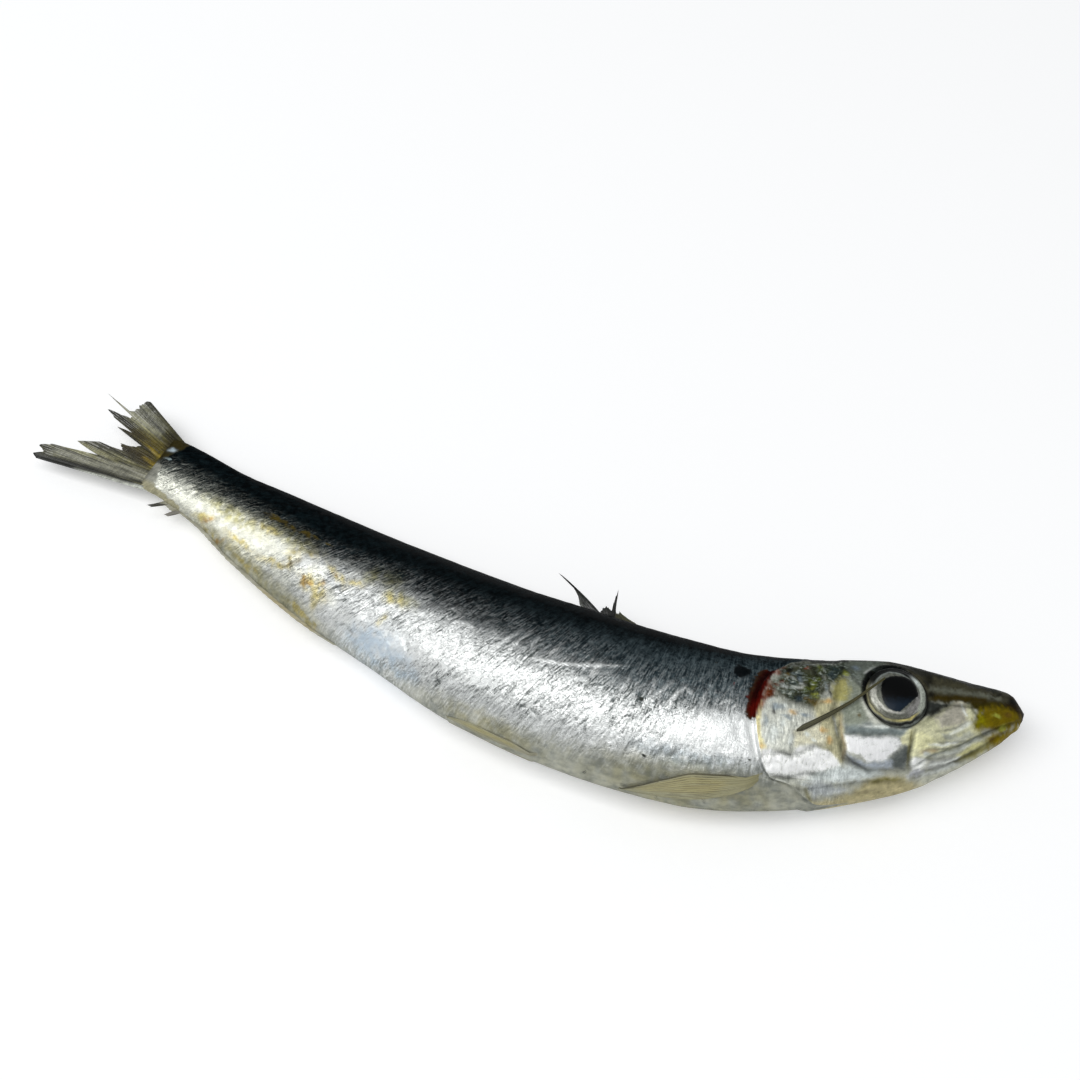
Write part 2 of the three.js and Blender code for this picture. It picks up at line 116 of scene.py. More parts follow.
backReach = smoothCurve(fish["sections"], 1)
bellyReach = smoothCurve(fish["sections"], 2)
halfThickness = smoothCurve(fish["sections"], 3)
upperSquareness = smoothCurve(fish["sections"], 4)
headingAt = smoothCurve(fish["bend"])
riseAt = smoothCurve(fish["lie"])
gillEdgeAt = smoothCurve(fish["gillEdge"])

spineStep = 0.5
spineStations = np.arange(0, fish["length"] + 1.5 * spineStep, spineStep)
spineTurn = np.radians(headingAt(spineStations[1:] - spineStep / 2))
spineX = np.concatenate([[0], -np.cumsum(np.cos(spineTurn)) * spineStep])
spineY = np.concatenate([[0], -np.cumsum(np.sin(spineTurn)) * spineStep])


def eased(t):  # leaves 0 and reaches 1 gently
    return t * t * (3 - 2 * t)


def smoothStep(value, low, high):
    return eased(np.clip((value - low) / (high - low), 0, 1))


def mixed(a, b, share):
    return a + (b - a) * share


def unit(vectors):
    return vectors / np.linalg.norm(vectors, axis=-1, keepdims=True)


def frameAt(at):  # centre and directions of the body at each station
    at = np.asarray(at, float)
    turn = np.radians(headingAt(at))
    roll = math.radians(fish["roll"])
    zero = np.zeros_like(at)
    side = np.stack([-np.sin(turn), np.cos(turn), zero], -1)
    up = np.stack([zero, zero, zero + 1], -1)
    centre = np.stack(
        [np.interp(at, spineStations, spineX), np.interp(at, spineStations, spineY), riseAt(at)], -1)
    tailward = np.stack([-np.cos(turn), -np.sin(turn), zero], -1)
    backward = side * math.cos(roll) + up * math.sin(roll)
    outward = up * math.cos(roll) - side * math.sin(roll)
    return centre, tailward, backward, outward


def sectionAt(at, angle):  # height over the spine, and reach to the flank
    sine = np.sin(np.radians(angle))
    level = np.maximum(np.cos(np.radians(angle)), 0)
    reach = np.where(sine > 0, backReach(at), bellyReach(at))
    power = np.where(sine > 0, upperSquareness(at), fish["keelSharpness"])
    return reach * sine, reach, halfThickness(at) * level**power


def bodyPoint(at, angle, flank, lift=0.0):  # flank is 1 on the upper side and -1 on the lower
    at, angle, flank, lift = np.broadcast_arrays(at, angle, flank, lift)
    centre, _, backward, outward = frameAt(at)
    height, reach, width = sectionAt(at, angle)
    upShare = np.sin(np.radians(angle)) / reach
    outShare = np.maximum(np.cos(np.radians(angle)), 0) / halfThickness(at)
    size = np.hypot(upShare, outShare)
    up = height + lift * upShare / size
    out = flank * (width + lift * outShare / size)
    return centre + backward * up[..., None] + outward * out[..., None]


def angleOf(at, height):  # the angle up the flank at a height
    reach = np.where(height > 0, backReach(at), bellyReach(at))
    return np.degrees(np.arcsin(np.clip(height / reach, -1, 1)))


eyeBase = (104, 106, 98)
eyeRings = (0.3, 0.35)  # middle of the arcs, towards the tail and the back
# Arcs of the eye: colour, strength, radius, half width, middle and half span in degrees.
# The middle is 0 towards the tail and 90 towards the back
eyeArcs = dict(
    greyBelow=((96, 97, 88), 0.8, 3.75, 0.35, -75, 52),
    sideGrey=((128, 127, 108), 0.8, 4.05, 0.2, 0, 40),
    paleSide=((198, 198, 188), 0.9, 3.35, 0.42, -6, 34),
    paleBelow=((172, 171, 164), 0.8, 3.12, 0.14, -72, 40),
    front=((146, 144, 142), 0.8, 3.5, 0.75, -148, 32),
    frontDark=((70, 70, 64), 0.7, 2.9, 0.16, -165, 30),
    line=((60, 58, 46), 0.7, 4.12, 0.07, -60, 84),
    gold=((150, 145, 106), 0.75, 4.3, 0.1, -60, 84),
    goldFront=((204, 192, 122), 0.8, 4.3, 0.1, -112, 26),
    paleFront=((178, 184, 172), 0.92, 4.3, 0.45, 184, 38),
    # painted shadow of the brow over the top of the iris
    over=((8, 10, 10), 0.96, 4.15, 0.75, 84, 60),
    overSilver=((140, 146, 142), 0.8, 3.42, 0.09, 84, 54),
    # painted highlight on the iris
    paintedGlint=((230, 238, 236), 0.95, 4.1, 0.34, 151, 8),
    # painted shadow of the brow on the eye's edge, thick towards the tail and the back
    browShadow=((12, 14, 14), 0.97, 5, 0.6, 52, 62),
    # painted shade of the groove under the eye's lower edge
    grooveShadowBelow=((16, 18, 17), 0.92, 4.72, 0.14, -62, 76),
    lidBelow=((104, 110, 106), 0.9, 5.3, 0.32, -105, 56),
    lidFront=((46, 48, 44), 0.9, 5.2, 0.4, 184, 44),
)

eye = dict(
    at=20.2,
    height=1.3,
    sunk=1.5,
    turn=6,  # degrees towards the snout
    radius=4.95,
    rimLevel=1.05,  # of the eye's edge over its centre point
    crownLevel=2.3,
    rings=60,
    steps=160,
    lensRise=0.12,  # of the pupil over the iris
    ring=(0.05, 3.85, 5),  # rise, distance and tightness of the ring in the iris
    edgeDrop=0.8,
    shellFrom=(4.4, 4.7),
    pupilMiddle=(-0.3, 0.25),
    pupilReach=(2.85, 2.9),
    pupilSquareness=2.5,
    pupilCut=(-0.62, -0.78, 1.95),  # direction and distance of its straight side
)


def eyeFrame(flank):  # centre, outward axis, tailward and backward directions of an eye
    centre, tailward, backward, outward = frameAt(eye["at"])
    angle = angleOf(eye["at"], np.array(eye["height"]))
    width = sectionAt(np.array(eye["at"]), angle)[2]
    turn = math.radians(eye["turn"])
    axis = outward * flank * math.cos(turn) - tailward * math.sin(turn)
    place = centre + backward * eye["height"] + outward * flank * (width - eye["sunk"])
    along = unit(tailward - axis * (tailward @ axis))
    return place, axis, along, backward


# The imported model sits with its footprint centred, so every point is moved by the same step
eyeLow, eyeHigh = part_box("eye_right")
shift = np.array((eyeLow + eyeHigh) / 2) / millimetre - eyeFrame(1)[0]
print("moved from the snout frame by", shift.round(3))

latticeSize = 48
latticeSeed = 41
seedStep = 5.37  # between the places where two seeds read the lattice
lattice = np.random.default_rng(latticeSeed).uniform(-1, 1, (latticeSize,) * 3)


def softNoise(x, y, z=0.0, seed=0):  # smooth noise from -1 to 1, about one bump a unit
    place = [value + seed * seedStep for value in np.broadcast_arrays(x, y, z)]
    cell = [np.floor(value).astype(int) for value in place]
    part = [eased(value - low) for value, low in zip(place, cell)]
    total = 0.0
    for corner in itertools.product((0, 1), repeat=3):
        weight = 1.0
        for step, t in zip(corner, part):
            weight = weight * (t if step else 1 - t)
        index = tuple((low + step) % latticeSize for low, step in zip(cell, corner))
        total = total + weight * lattice[index]
    return total


def noiseLayers(x, y, z, layers):  # each layer: amount, size along, size up, seed
    return sum(
        amount * softNoise(x / long, y / high, z, seed=seed) for amount, long, high, seed in layers)


def lineDistance(x, y, line):  # distance to a line of points, and the share along it
    least = np.full(np.shape(x), np.inf)
    share = np.zeros(np.shape(x))
    for i, ((ax, ay), (bx, by)) in enumerate(zip(line, line[1:])):
        dx, dy = bx - ax, by - ay
        t = np.clip(((x - ax) * dx + (y - ay) * dy) / (dx * dx + dy * dy), 0, 1)
        away = np.hypot(x - ax - t * dx, y - ay - t * dy)
        share = np.where(away < least, (i + t) / (len(line) - 1), share)
        least = np.minimum(away, least)
    return least, share


def lineMask(x, y, line, width, blunt=5, ends=0.1):  # 1 on a line that tapers to both ends
    away, share = lineDistance(x, y, line)
    return np.exp(-((away / width) ** 2)) * np.sqrt(np.clip(blunt * share * (1 - share) + ends, 0, 1))


def patchMask(x, y, outline, soft):  # 1 inside the outline, falling to 0 over a soft edge
    inside = np.zeros(np.shape(x), bool)
    for (ax, ay), (bx, by) in zip(outline, outline[1:] + outline[:1]):
        crosses = (ay > y) != (by > y)
        run = (bx - ax) * (y - ay) / np.where(by == ay, 1, by - ay) + ax
        inside ^= crosses & (x < run)
    away = lineDistance(x, y, outline + outline[:1])[0]
    return smoothStep(np.where(inside, away, -away), -soft, soft)


def spotMask(x, y, spot):  # a soft ellipse: station, height, both radii, tilt in degrees
    at, height, long, short, tilt = spot
    turn = math.radians(tilt)
    u = ((x - at) * math.cos(turn) + (y - height) * math.sin(turn)) / long
    v = ((y - height) * math.cos(turn) - (x - at) * math.sin(turn)) / short
    return np.exp(-(u * u + v * v) ** 1.5)


def screen(red, green, blue):  # a colour as a screen shows it, 0 to 255, in linear light
    values = np.array([red, green, blue]) / 255
    return np.where(values <= 0.04045, values / 12.92, ((values + 0.055) / 1.055) ** 2.4)


def channels(tone, spread):  # a colour layer: every point's colour, with a full alpha
    parts = [spread(tone[..., k]) for k in range(3)]
    return np.stack([*parts, np.ones_like(parts[0])], -1)


layerKinds = (("FLOAT", "value"), ("FLOAT_VECTOR", "vector"), ("FLOAT_COLOR", "color"))


def quadsOf(first, second):  # faces between two neighbouring columns of a grid, all the way
    return np.stack([first[:-1], second[:-1], second[1:], first[1:]], -1).reshape(-1, 4)


def makeMesh(name, points, faces, material, node, floats, vectors, colours):
    mesh = bpy.data.meshes.new(name)
    mesh.from_pydata(((points + shift) * millimetre).tolist(), [], faces)
    for (kind, field), layers in zip(layerKinds, (floats, vectors, colours)):
        for key, values in layers.items():
            layer = mesh.attributes.new(key, kind, "POINT")
            layer.data.foreach_set(field, np.ravel(values).astype(np.float32))
    mesh.shade_smooth()
    mesh.materials.append(material)
    made = bpy.data.objects.new(name, mesh)
    bpy.context.scene.collection.objects.link(made)
    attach(made, "root")
    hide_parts(node)
    print("made", name, "with", len(faces), "faces")


class Tone:  # a socket of a material, so that maths on it reads as plain sums
    def __init__(self, paint, socket):
        self.paint = paint
        self.socket = socket

    def maths(self, operation, *values, clamp=False):
        settings = dict(operation=operation, use_clamp=clamp)
        return self.paint.node("ShaderNodeMath", settings, dict(enumerate(values)))

    def __add__(self, other):
        return self.maths("ADD", self, other)

    def __sub__(self, other):
        return self.maths("SUBTRACT", self, other)

    def __rsub__(self, other):
        return self.maths("SUBTRACT", other, self)

    def __mul__(self, other):
        return self.maths("MULTIPLY", self, other)

    def __abs__(self):
        return self.maths("ABSOLUTE", self)

    __radd__ = __add__
    __rmul__ = __mul__

    def held(self):  # kept between 0 and 1
        return self.maths("ADD", self, 0.0, clamp=True)


def swings(*pairs):  # how far each texture is off its middle, times its weight, added up
    total, *others = [(texture - 0.5) * weight for texture, weight in pairs]
    for other in others:
        total = total + other
    return total


class Paint:  # a material while its nodes are laid
    def __init__(self, name):
        self.material = bpy.data.materials.new(name)
        self.material.use_nodes = True
        self.tree = self.material.node_tree
        self.tree.nodes.clear()
        self.layers = {}  # attributes of the mesh that are already read

    def node(self, kind, settings={}, inputs={}, output=0):
        made = self.tree.nodes.new(kind)
        for key, value in settings.items():
            setattr(made, key, value)
        for key, value in inputs.items():
            if isinstance(value, Tone):
                self.tree.links.new(value.socket, made.inputs[key])
            else:
                made.inputs[key].default_value = value
        return Tone(self, made.outputs[output] if made.outputs else None)

    def attribute(self, name, output):
        if name not in self.layers:
            self.layers[name] = self.node(
                "ShaderNodeAttribute", dict(attribute_name=name), output=output)
        return self.layers[name]

    def number(self, name):
        return self.attribute(name, "Fac")

    def vector(self, name):
        return self.attribute(name, "Vector")

    def colour(self, name):
        return self.attribute(name, "Color")

    def blend(self, share, under, over):  # colours: under where share is 0, over where it is 1
        over, under = [c if isinstance(c, Tone) else (*c, 1.0) for c in (over, under)]
        return self.node("ShaderNodeMix", dict(data_type="RGBA"), {0: share, 6: under, 7: over}, 2)

    def shade(self, share, tones):  # between the darkest and the brightest tone on a screen
        return self.blend(share, *(screen(*tone) for tone in tones))

    def times(self, colour, other):  # colours multiplied
        other = other if isinstance(other, Tone) else (*other, 1.0)
        settings = dict(data_type="RGBA", blend_type="MULTIPLY")
        return self.node("ShaderNodeMix", settings, {0: 1.0, 6: colour, 7: other}, 2)

    def level(self, value, low, high):  # 0 at low, 1 at high, eased between
        inputs = {0: value, 1: low, 2: high}
        return self.node("ShaderNodeMapRange", dict(interpolation_type="SMOOTHSTEP"), inputs)

    def line(self, value, middle, width):  # 1 where a texture passes a value, as thin lines
        return 1 - self.level(abs(value - middle), 0.0, width)

    def vectorMaths(self, operation, vector, other):
        return self.node("ShaderNodeVectorMath", dict(operation=operation), {0: vector, 1: other})

    def texture(self, place, bumps, detail, roughness, bend=0.0, step=None):
        vector = self.vectorMaths("MULTIPLY", self.vector(place), bumps)
        if step:
            vector = self.vectorMaths("ADD", vector, step)
        return self.node("ShaderNodeTexNoise", {}, dict(
            Vector=vector, Scale=1.0, Detail=detail, Roughness=roughness, Distortion=bend))

    def bump(self, height, distance, strength):
        return self.node(
            "ShaderNodeBump", {}, dict(Height=height, Distance=distance, Strength=strength))

    def finish(self, **inputs):
        inputs = {key.replace("_", " "): value for key, value in inputs.items()}
        shader = self.node("ShaderNodeBsdfPrincipled", {}, inputs)
        self.node("ShaderNodeOutputMaterial", {}, {0: shader})
        return self.material


skin = dict(
    headRows=185,
    trunkRows=345,
    upperSteps=128,  # points up the flank that shows
    lowerSteps=56,
    slitRows=(0.06, 0.14, 0.3, 0.6, 1.0, 1.5, 2.0, 2.6),
    endRows=(0.25, 0.5, 0.75, 1.0),
    endLength=2.4,  # flesh that runs out over the root of the tail fin
    endThickness=0.22,
    # width, depth and [station, height] of each line pressed into the head
    grooves=dict(
        preopercle=(0.5, 0.35, [(28.6, 4), (30.2, -1.7), (29.1, -8), (25.5, -9.6), (20.6, -9.4)]),
        jawHinge=(0.4, 0.35, [(17.8, -3.6), (19, -7.2), (19.2, -9.6)]),
        mouth=(0.3, 0.5, [(0.6, -1.4), (5, -3.1), (8.3, -4.5), (11.3, -6), (15.4, -7.3), (18.6, -9)]),
        jawSide=(0.3, 0.25, [(2, -2.6), (4.6, -3.9), (6.7, -5.2), (10, -7), (13.3, -8.5), (19, -10)]),
        upperJaw=(0.35, 0.3, [(17.6, -3.4), (14.6, -1.2), (11.6, 0.4), (8.6, 0.2), (7.6, -1.6)]),
        upperJawFold=(0.3, 0.15, [(16.8, -5.6), (12.6, -4.6), (9.4, -3.6)]),
        throat=(0.3, 0.2, [(38, -12.2), (32, -11.6), (26, -11), (20, -10.8)]),
        throatFold=(0.3, 0.15, [(37, -13.2), (30, -12.5), (23, -11.9)]),
        coverPlate=(0.35, 0.25, [(40.6, -8), (38.2, -7.4), (36.6, -7.9), (33.2, -6.4), (30.6, -6.8)]),
        coverFold=(0.4, 0.25, [(40.2, -10.4), (37.4, -10.6), (34.6, -10), (31.4, -10.4)]),
        cheekTop=(0.35, 0.18, [(28.6, -4.4), (24, -4.7), (20.4, -4.7)]),
        templeFold=(0.4, 0.2, [(31.4, 5.8), (33.4, 2.8), (32.6, 0.4)]),
        napeFold=(0.35, 0.25, [(38.4, 5.2), (35.6, 6.2), (31.5, 7)]),
    ),
    grooveEnds=(4.5, 0.15),  # how blunt each line ends, and its least strength there
    fullCrease=0.3,  # depth of a line that is as dark as a crease can be
    brow=(0.9, 0.35, [(9, 3.6), (14, 5.4), (20, 7.4), (27, 7.2)]),  # width, rise, points
    nostril=(4.2, 2.5, 0.55, 0.4),  # station, height, radius, depth
    socketGap=0.5,  # from the floor of a socket to the eye
    socketReach=2,  # how deep under an eye the skin is moved
    # Past the eye's edge: where the press ends, then middle and width of the rim and of its crease,
    # which is darkened with painted shade
    socketEdge=(-0.35, 0.1),
    rimLines=((0.45, 0.3), (0.05, 0.28)),
    rimRise=0.22,
    rimShade=(0.1, -0.4, 0.6),  # least shade, and where it grows towards the rear upper corner
    # How far each relief stands out
    lifts=dict(
        rays=0.02, foil=0.1, crumple=0.012, upperCrumple=0.1, lines=0.03,
        ridges=0.07, threads=0.035, crinkle=0.04, swell=0.16, folds=0.12,
    ),
    # Where two reliefs of the gill cover lie: stations and heights over which they begin, and
    # heights over which they end towards the back
    raysHere=((33, 35.5), (-8.2, -7), (-1.5, 0.5)),
    foilHere=((29, 30.5), (-10.6, -9.6), (-8, -6.5)),
    upperCover=((29, 31), (-1.5, 0)),
    rays=(0.22, 4, 8.5, 4),  # lean, how far under the spine it is nil, rate, sway
    lines=(7.5, 1.1),  # rate up and along
    linesHere=((-9.6, -9), (8, 12)),  # below these heights, behind these stations
    jawLines=(18, 0.5),  # station before which lines run all over the jaw, and how strong
    # Noise of the head: amount, size along, size up, seed
    foilNoise=((1, 0.9, 0.9, 5), (0.5, 0.4, 0.4, 6)),
    crumpleNoise=((1, 1.6, 1.2, 7), (0.6, 0.6, 0.5, 8)),
    flank=((-12, -10), (3, 6)),  # heights over which the flank's relief begins and ends
    offFlank=0.35,
    foldWidth=0.12,
    foldsGather=(-0.1, 0.3),
    # Noise of the trunk: seed, whether it slants, and sizes along, up and out
    trunkNoise=dict(
        ridges=(11, True, 1.25, 5, 5),
        threads=(12, True, 1 / 2.4, 1.8, 2),
        crinkle=(13, False, 1.1, 0.7, 1),
        swell=(14, False, 7, 4, 4),
        fold=(15, True, 2, 6, 6),
        gathered=(16, False, 9, 6, 6),
    ),
)


def ringOfBody():  # angles and flanks, up the upper flank from the belly and down the lower one
    angles, flanks = [], []
    for flank, steps in ((1, skin["upperSteps"]), (-1, skin["lowerSteps"])):
        share = flank * (2 * np.arange(steps) / steps - 1)
        angles.append(90 * (0.8 * share + 0.2 * share**3))
        flanks.append(np.full(steps, float(flank)))
    return np.concatenate(angles), np.concatenate(flanks)


def coverShape(angle):  # how strongly the gill cover stands out: not at all over the nape
    return smoothStep(angle, *fish["coverBelow"]) * (1 - smoothStep(angle, *fish["coverAbove"]))


def grooveDepths(at, height):  # depth pressed in, and how much of a crease a point is in
    depth = np.zeros(at.shape)
    creaseShade = np.zeros(at.shape)
    for width, deep, line in skin["grooves"].values():
        shape = lineMask(at, height, line, width, *skin["grooveEnds"])
        depth += deep * shape
        # the share of a crease sets how dark its painted shade is
        creaseShade = np.maximum(creaseShade, shape * min(deep / skin["fullCrease"], 1))
    return depth, creaseShade


def window(at, height, limits):  # 1 where a relief of the gill cover lies
    start, bottom, top = limits
    return smoothStep(at, *start) * smoothStep(height, *bottom) * (1 - smoothStep(height, *top))


def headRelief(at, height, cover):
    lifts = skin["lifts"]
    depth, creaseShade = grooveDepths(at, height)
    width, rise, line = skin["brow"]
    brow = rise * np.exp(-((lineDistance(at, height, line)[0] / width) ** 2))
    x, y, radius, deep = skin["nostril"]
    pit = deep * np.exp(-(((at - x) ** 2 + (height - y) ** 2) / radius**2))
    lean, above, rate, sway = skin["rays"]
    rays = (at - lean * (height + above)) * rate + sway * softNoise(at / 1.6, height / 3, seed=2)
    foil = noiseLayers(at, height, 0, skin["foilNoise"])
    crumple = noiseLayers(at, height, 0, skin["crumpleNoise"])
    upper, over = skin["upperCover"]
    upper = smoothStep(at, *upper) * smoothStep(height, *over)
    up, along = skin["lines"]
    lines = np.sin(height * up + at * along + softNoise(at / 3, height, seed=9))
    below, behind = skin["linesHere"]
    before, strength = skin["jawLines"]
    linesHere = (1 - smoothStep(height, *below)) * smoothStep(at, *behind) + strength * (at < before)
    lift = brow - depth - pit
    lift += lifts["rays"] * np.sin(rays) * window(at, height, skin["raysHere"])
    lift += lifts["foil"] * foil * window(at, height, skin["foilHere"])
    lift += (lifts["crumple"] + lifts["upperCrumple"] * upper) * crumple
    lift += lifts["lines"] * lines * linesHere
    return lift * cover, creaseShade * cover


def trunkRelief(at, height, out, slanted):
    lifts = skin["lifts"]
    noise = {
        name: softNoise((slanted if slants else at) / long, height / high, out / wide, seed=seed)
        for name, (seed, slants, long, high, wide) in skin["trunkNoise"].items()}
    begin, end = skin["flank"]
    flank = smoothStep(height, *begin) * (1 - smoothStep(height, *end))
    folds = 1 - smoothStep(np.abs(noise["fold"]), 0, skin["foldWidth"])
    folds = folds * smoothStep(noise["gathered"], *skin["foldsGather"]) * flank
    lift = sum(lifts[name] * noise[name] for name in ("ridges", "threads", "crinkle", "swell"))
    return lift * mixed(skin["offFlank"], 1, flank) - lifts["folds"] * folds, folds


slantAt = smoothCurve([(40, 0.12), (55, 0.2), (66, 0.45), (85, 0.5), (105, 0.55), (150, 0.7)])


def socket(points, flank, flanks):  # presses the skin under the eye and raises a rim round it
    place, axis, tailward, backward = eyeFrame(flank)
    offset = points - place
    along = offset @ axis
    corner = offset @ unit(tailward + backward) / np.linalg.norm(offset, axis=-1)
    away = np.linalg.norm(offset - along[..., None] * axis, axis=-1)
    near = (flanks == flank) & (along > -skin["socketReach"])
    floor = eyeLevel(np.clip(away / eye["radius"], 0, 1)) - skin["socketGap"]
    beyond = away - eye["radius"]
    press = np.maximum(along - floor, 0) * (1 - smoothStep(beyond, *skin["socketEdge"]))
    rim, edge = (
        np.exp(-(((beyond - middle) / width) ** 2)) for middle, width in skin["rimLines"])
    moved = points + axis * np.where(near, skin["rimRise"] * rim - press, 0)[..., None]
    # edge: share of the painted shade in the crease round the eye, growing towards the rear upper
    # corner
    least, low, high = skin["rimShade"]
    edge = edge * mixed(least, 1, smoothStep(corner, low, high))
    return moved, np.where(near, edge, 0), np.where(near, away, 99.0), corner


def eyeLevel(share):  # height of the eye's surface over its centre point
    return mixed(eye["rimLevel"], eye["crownLevel"], np.cos(share * math.pi / 2) ** 0.85)


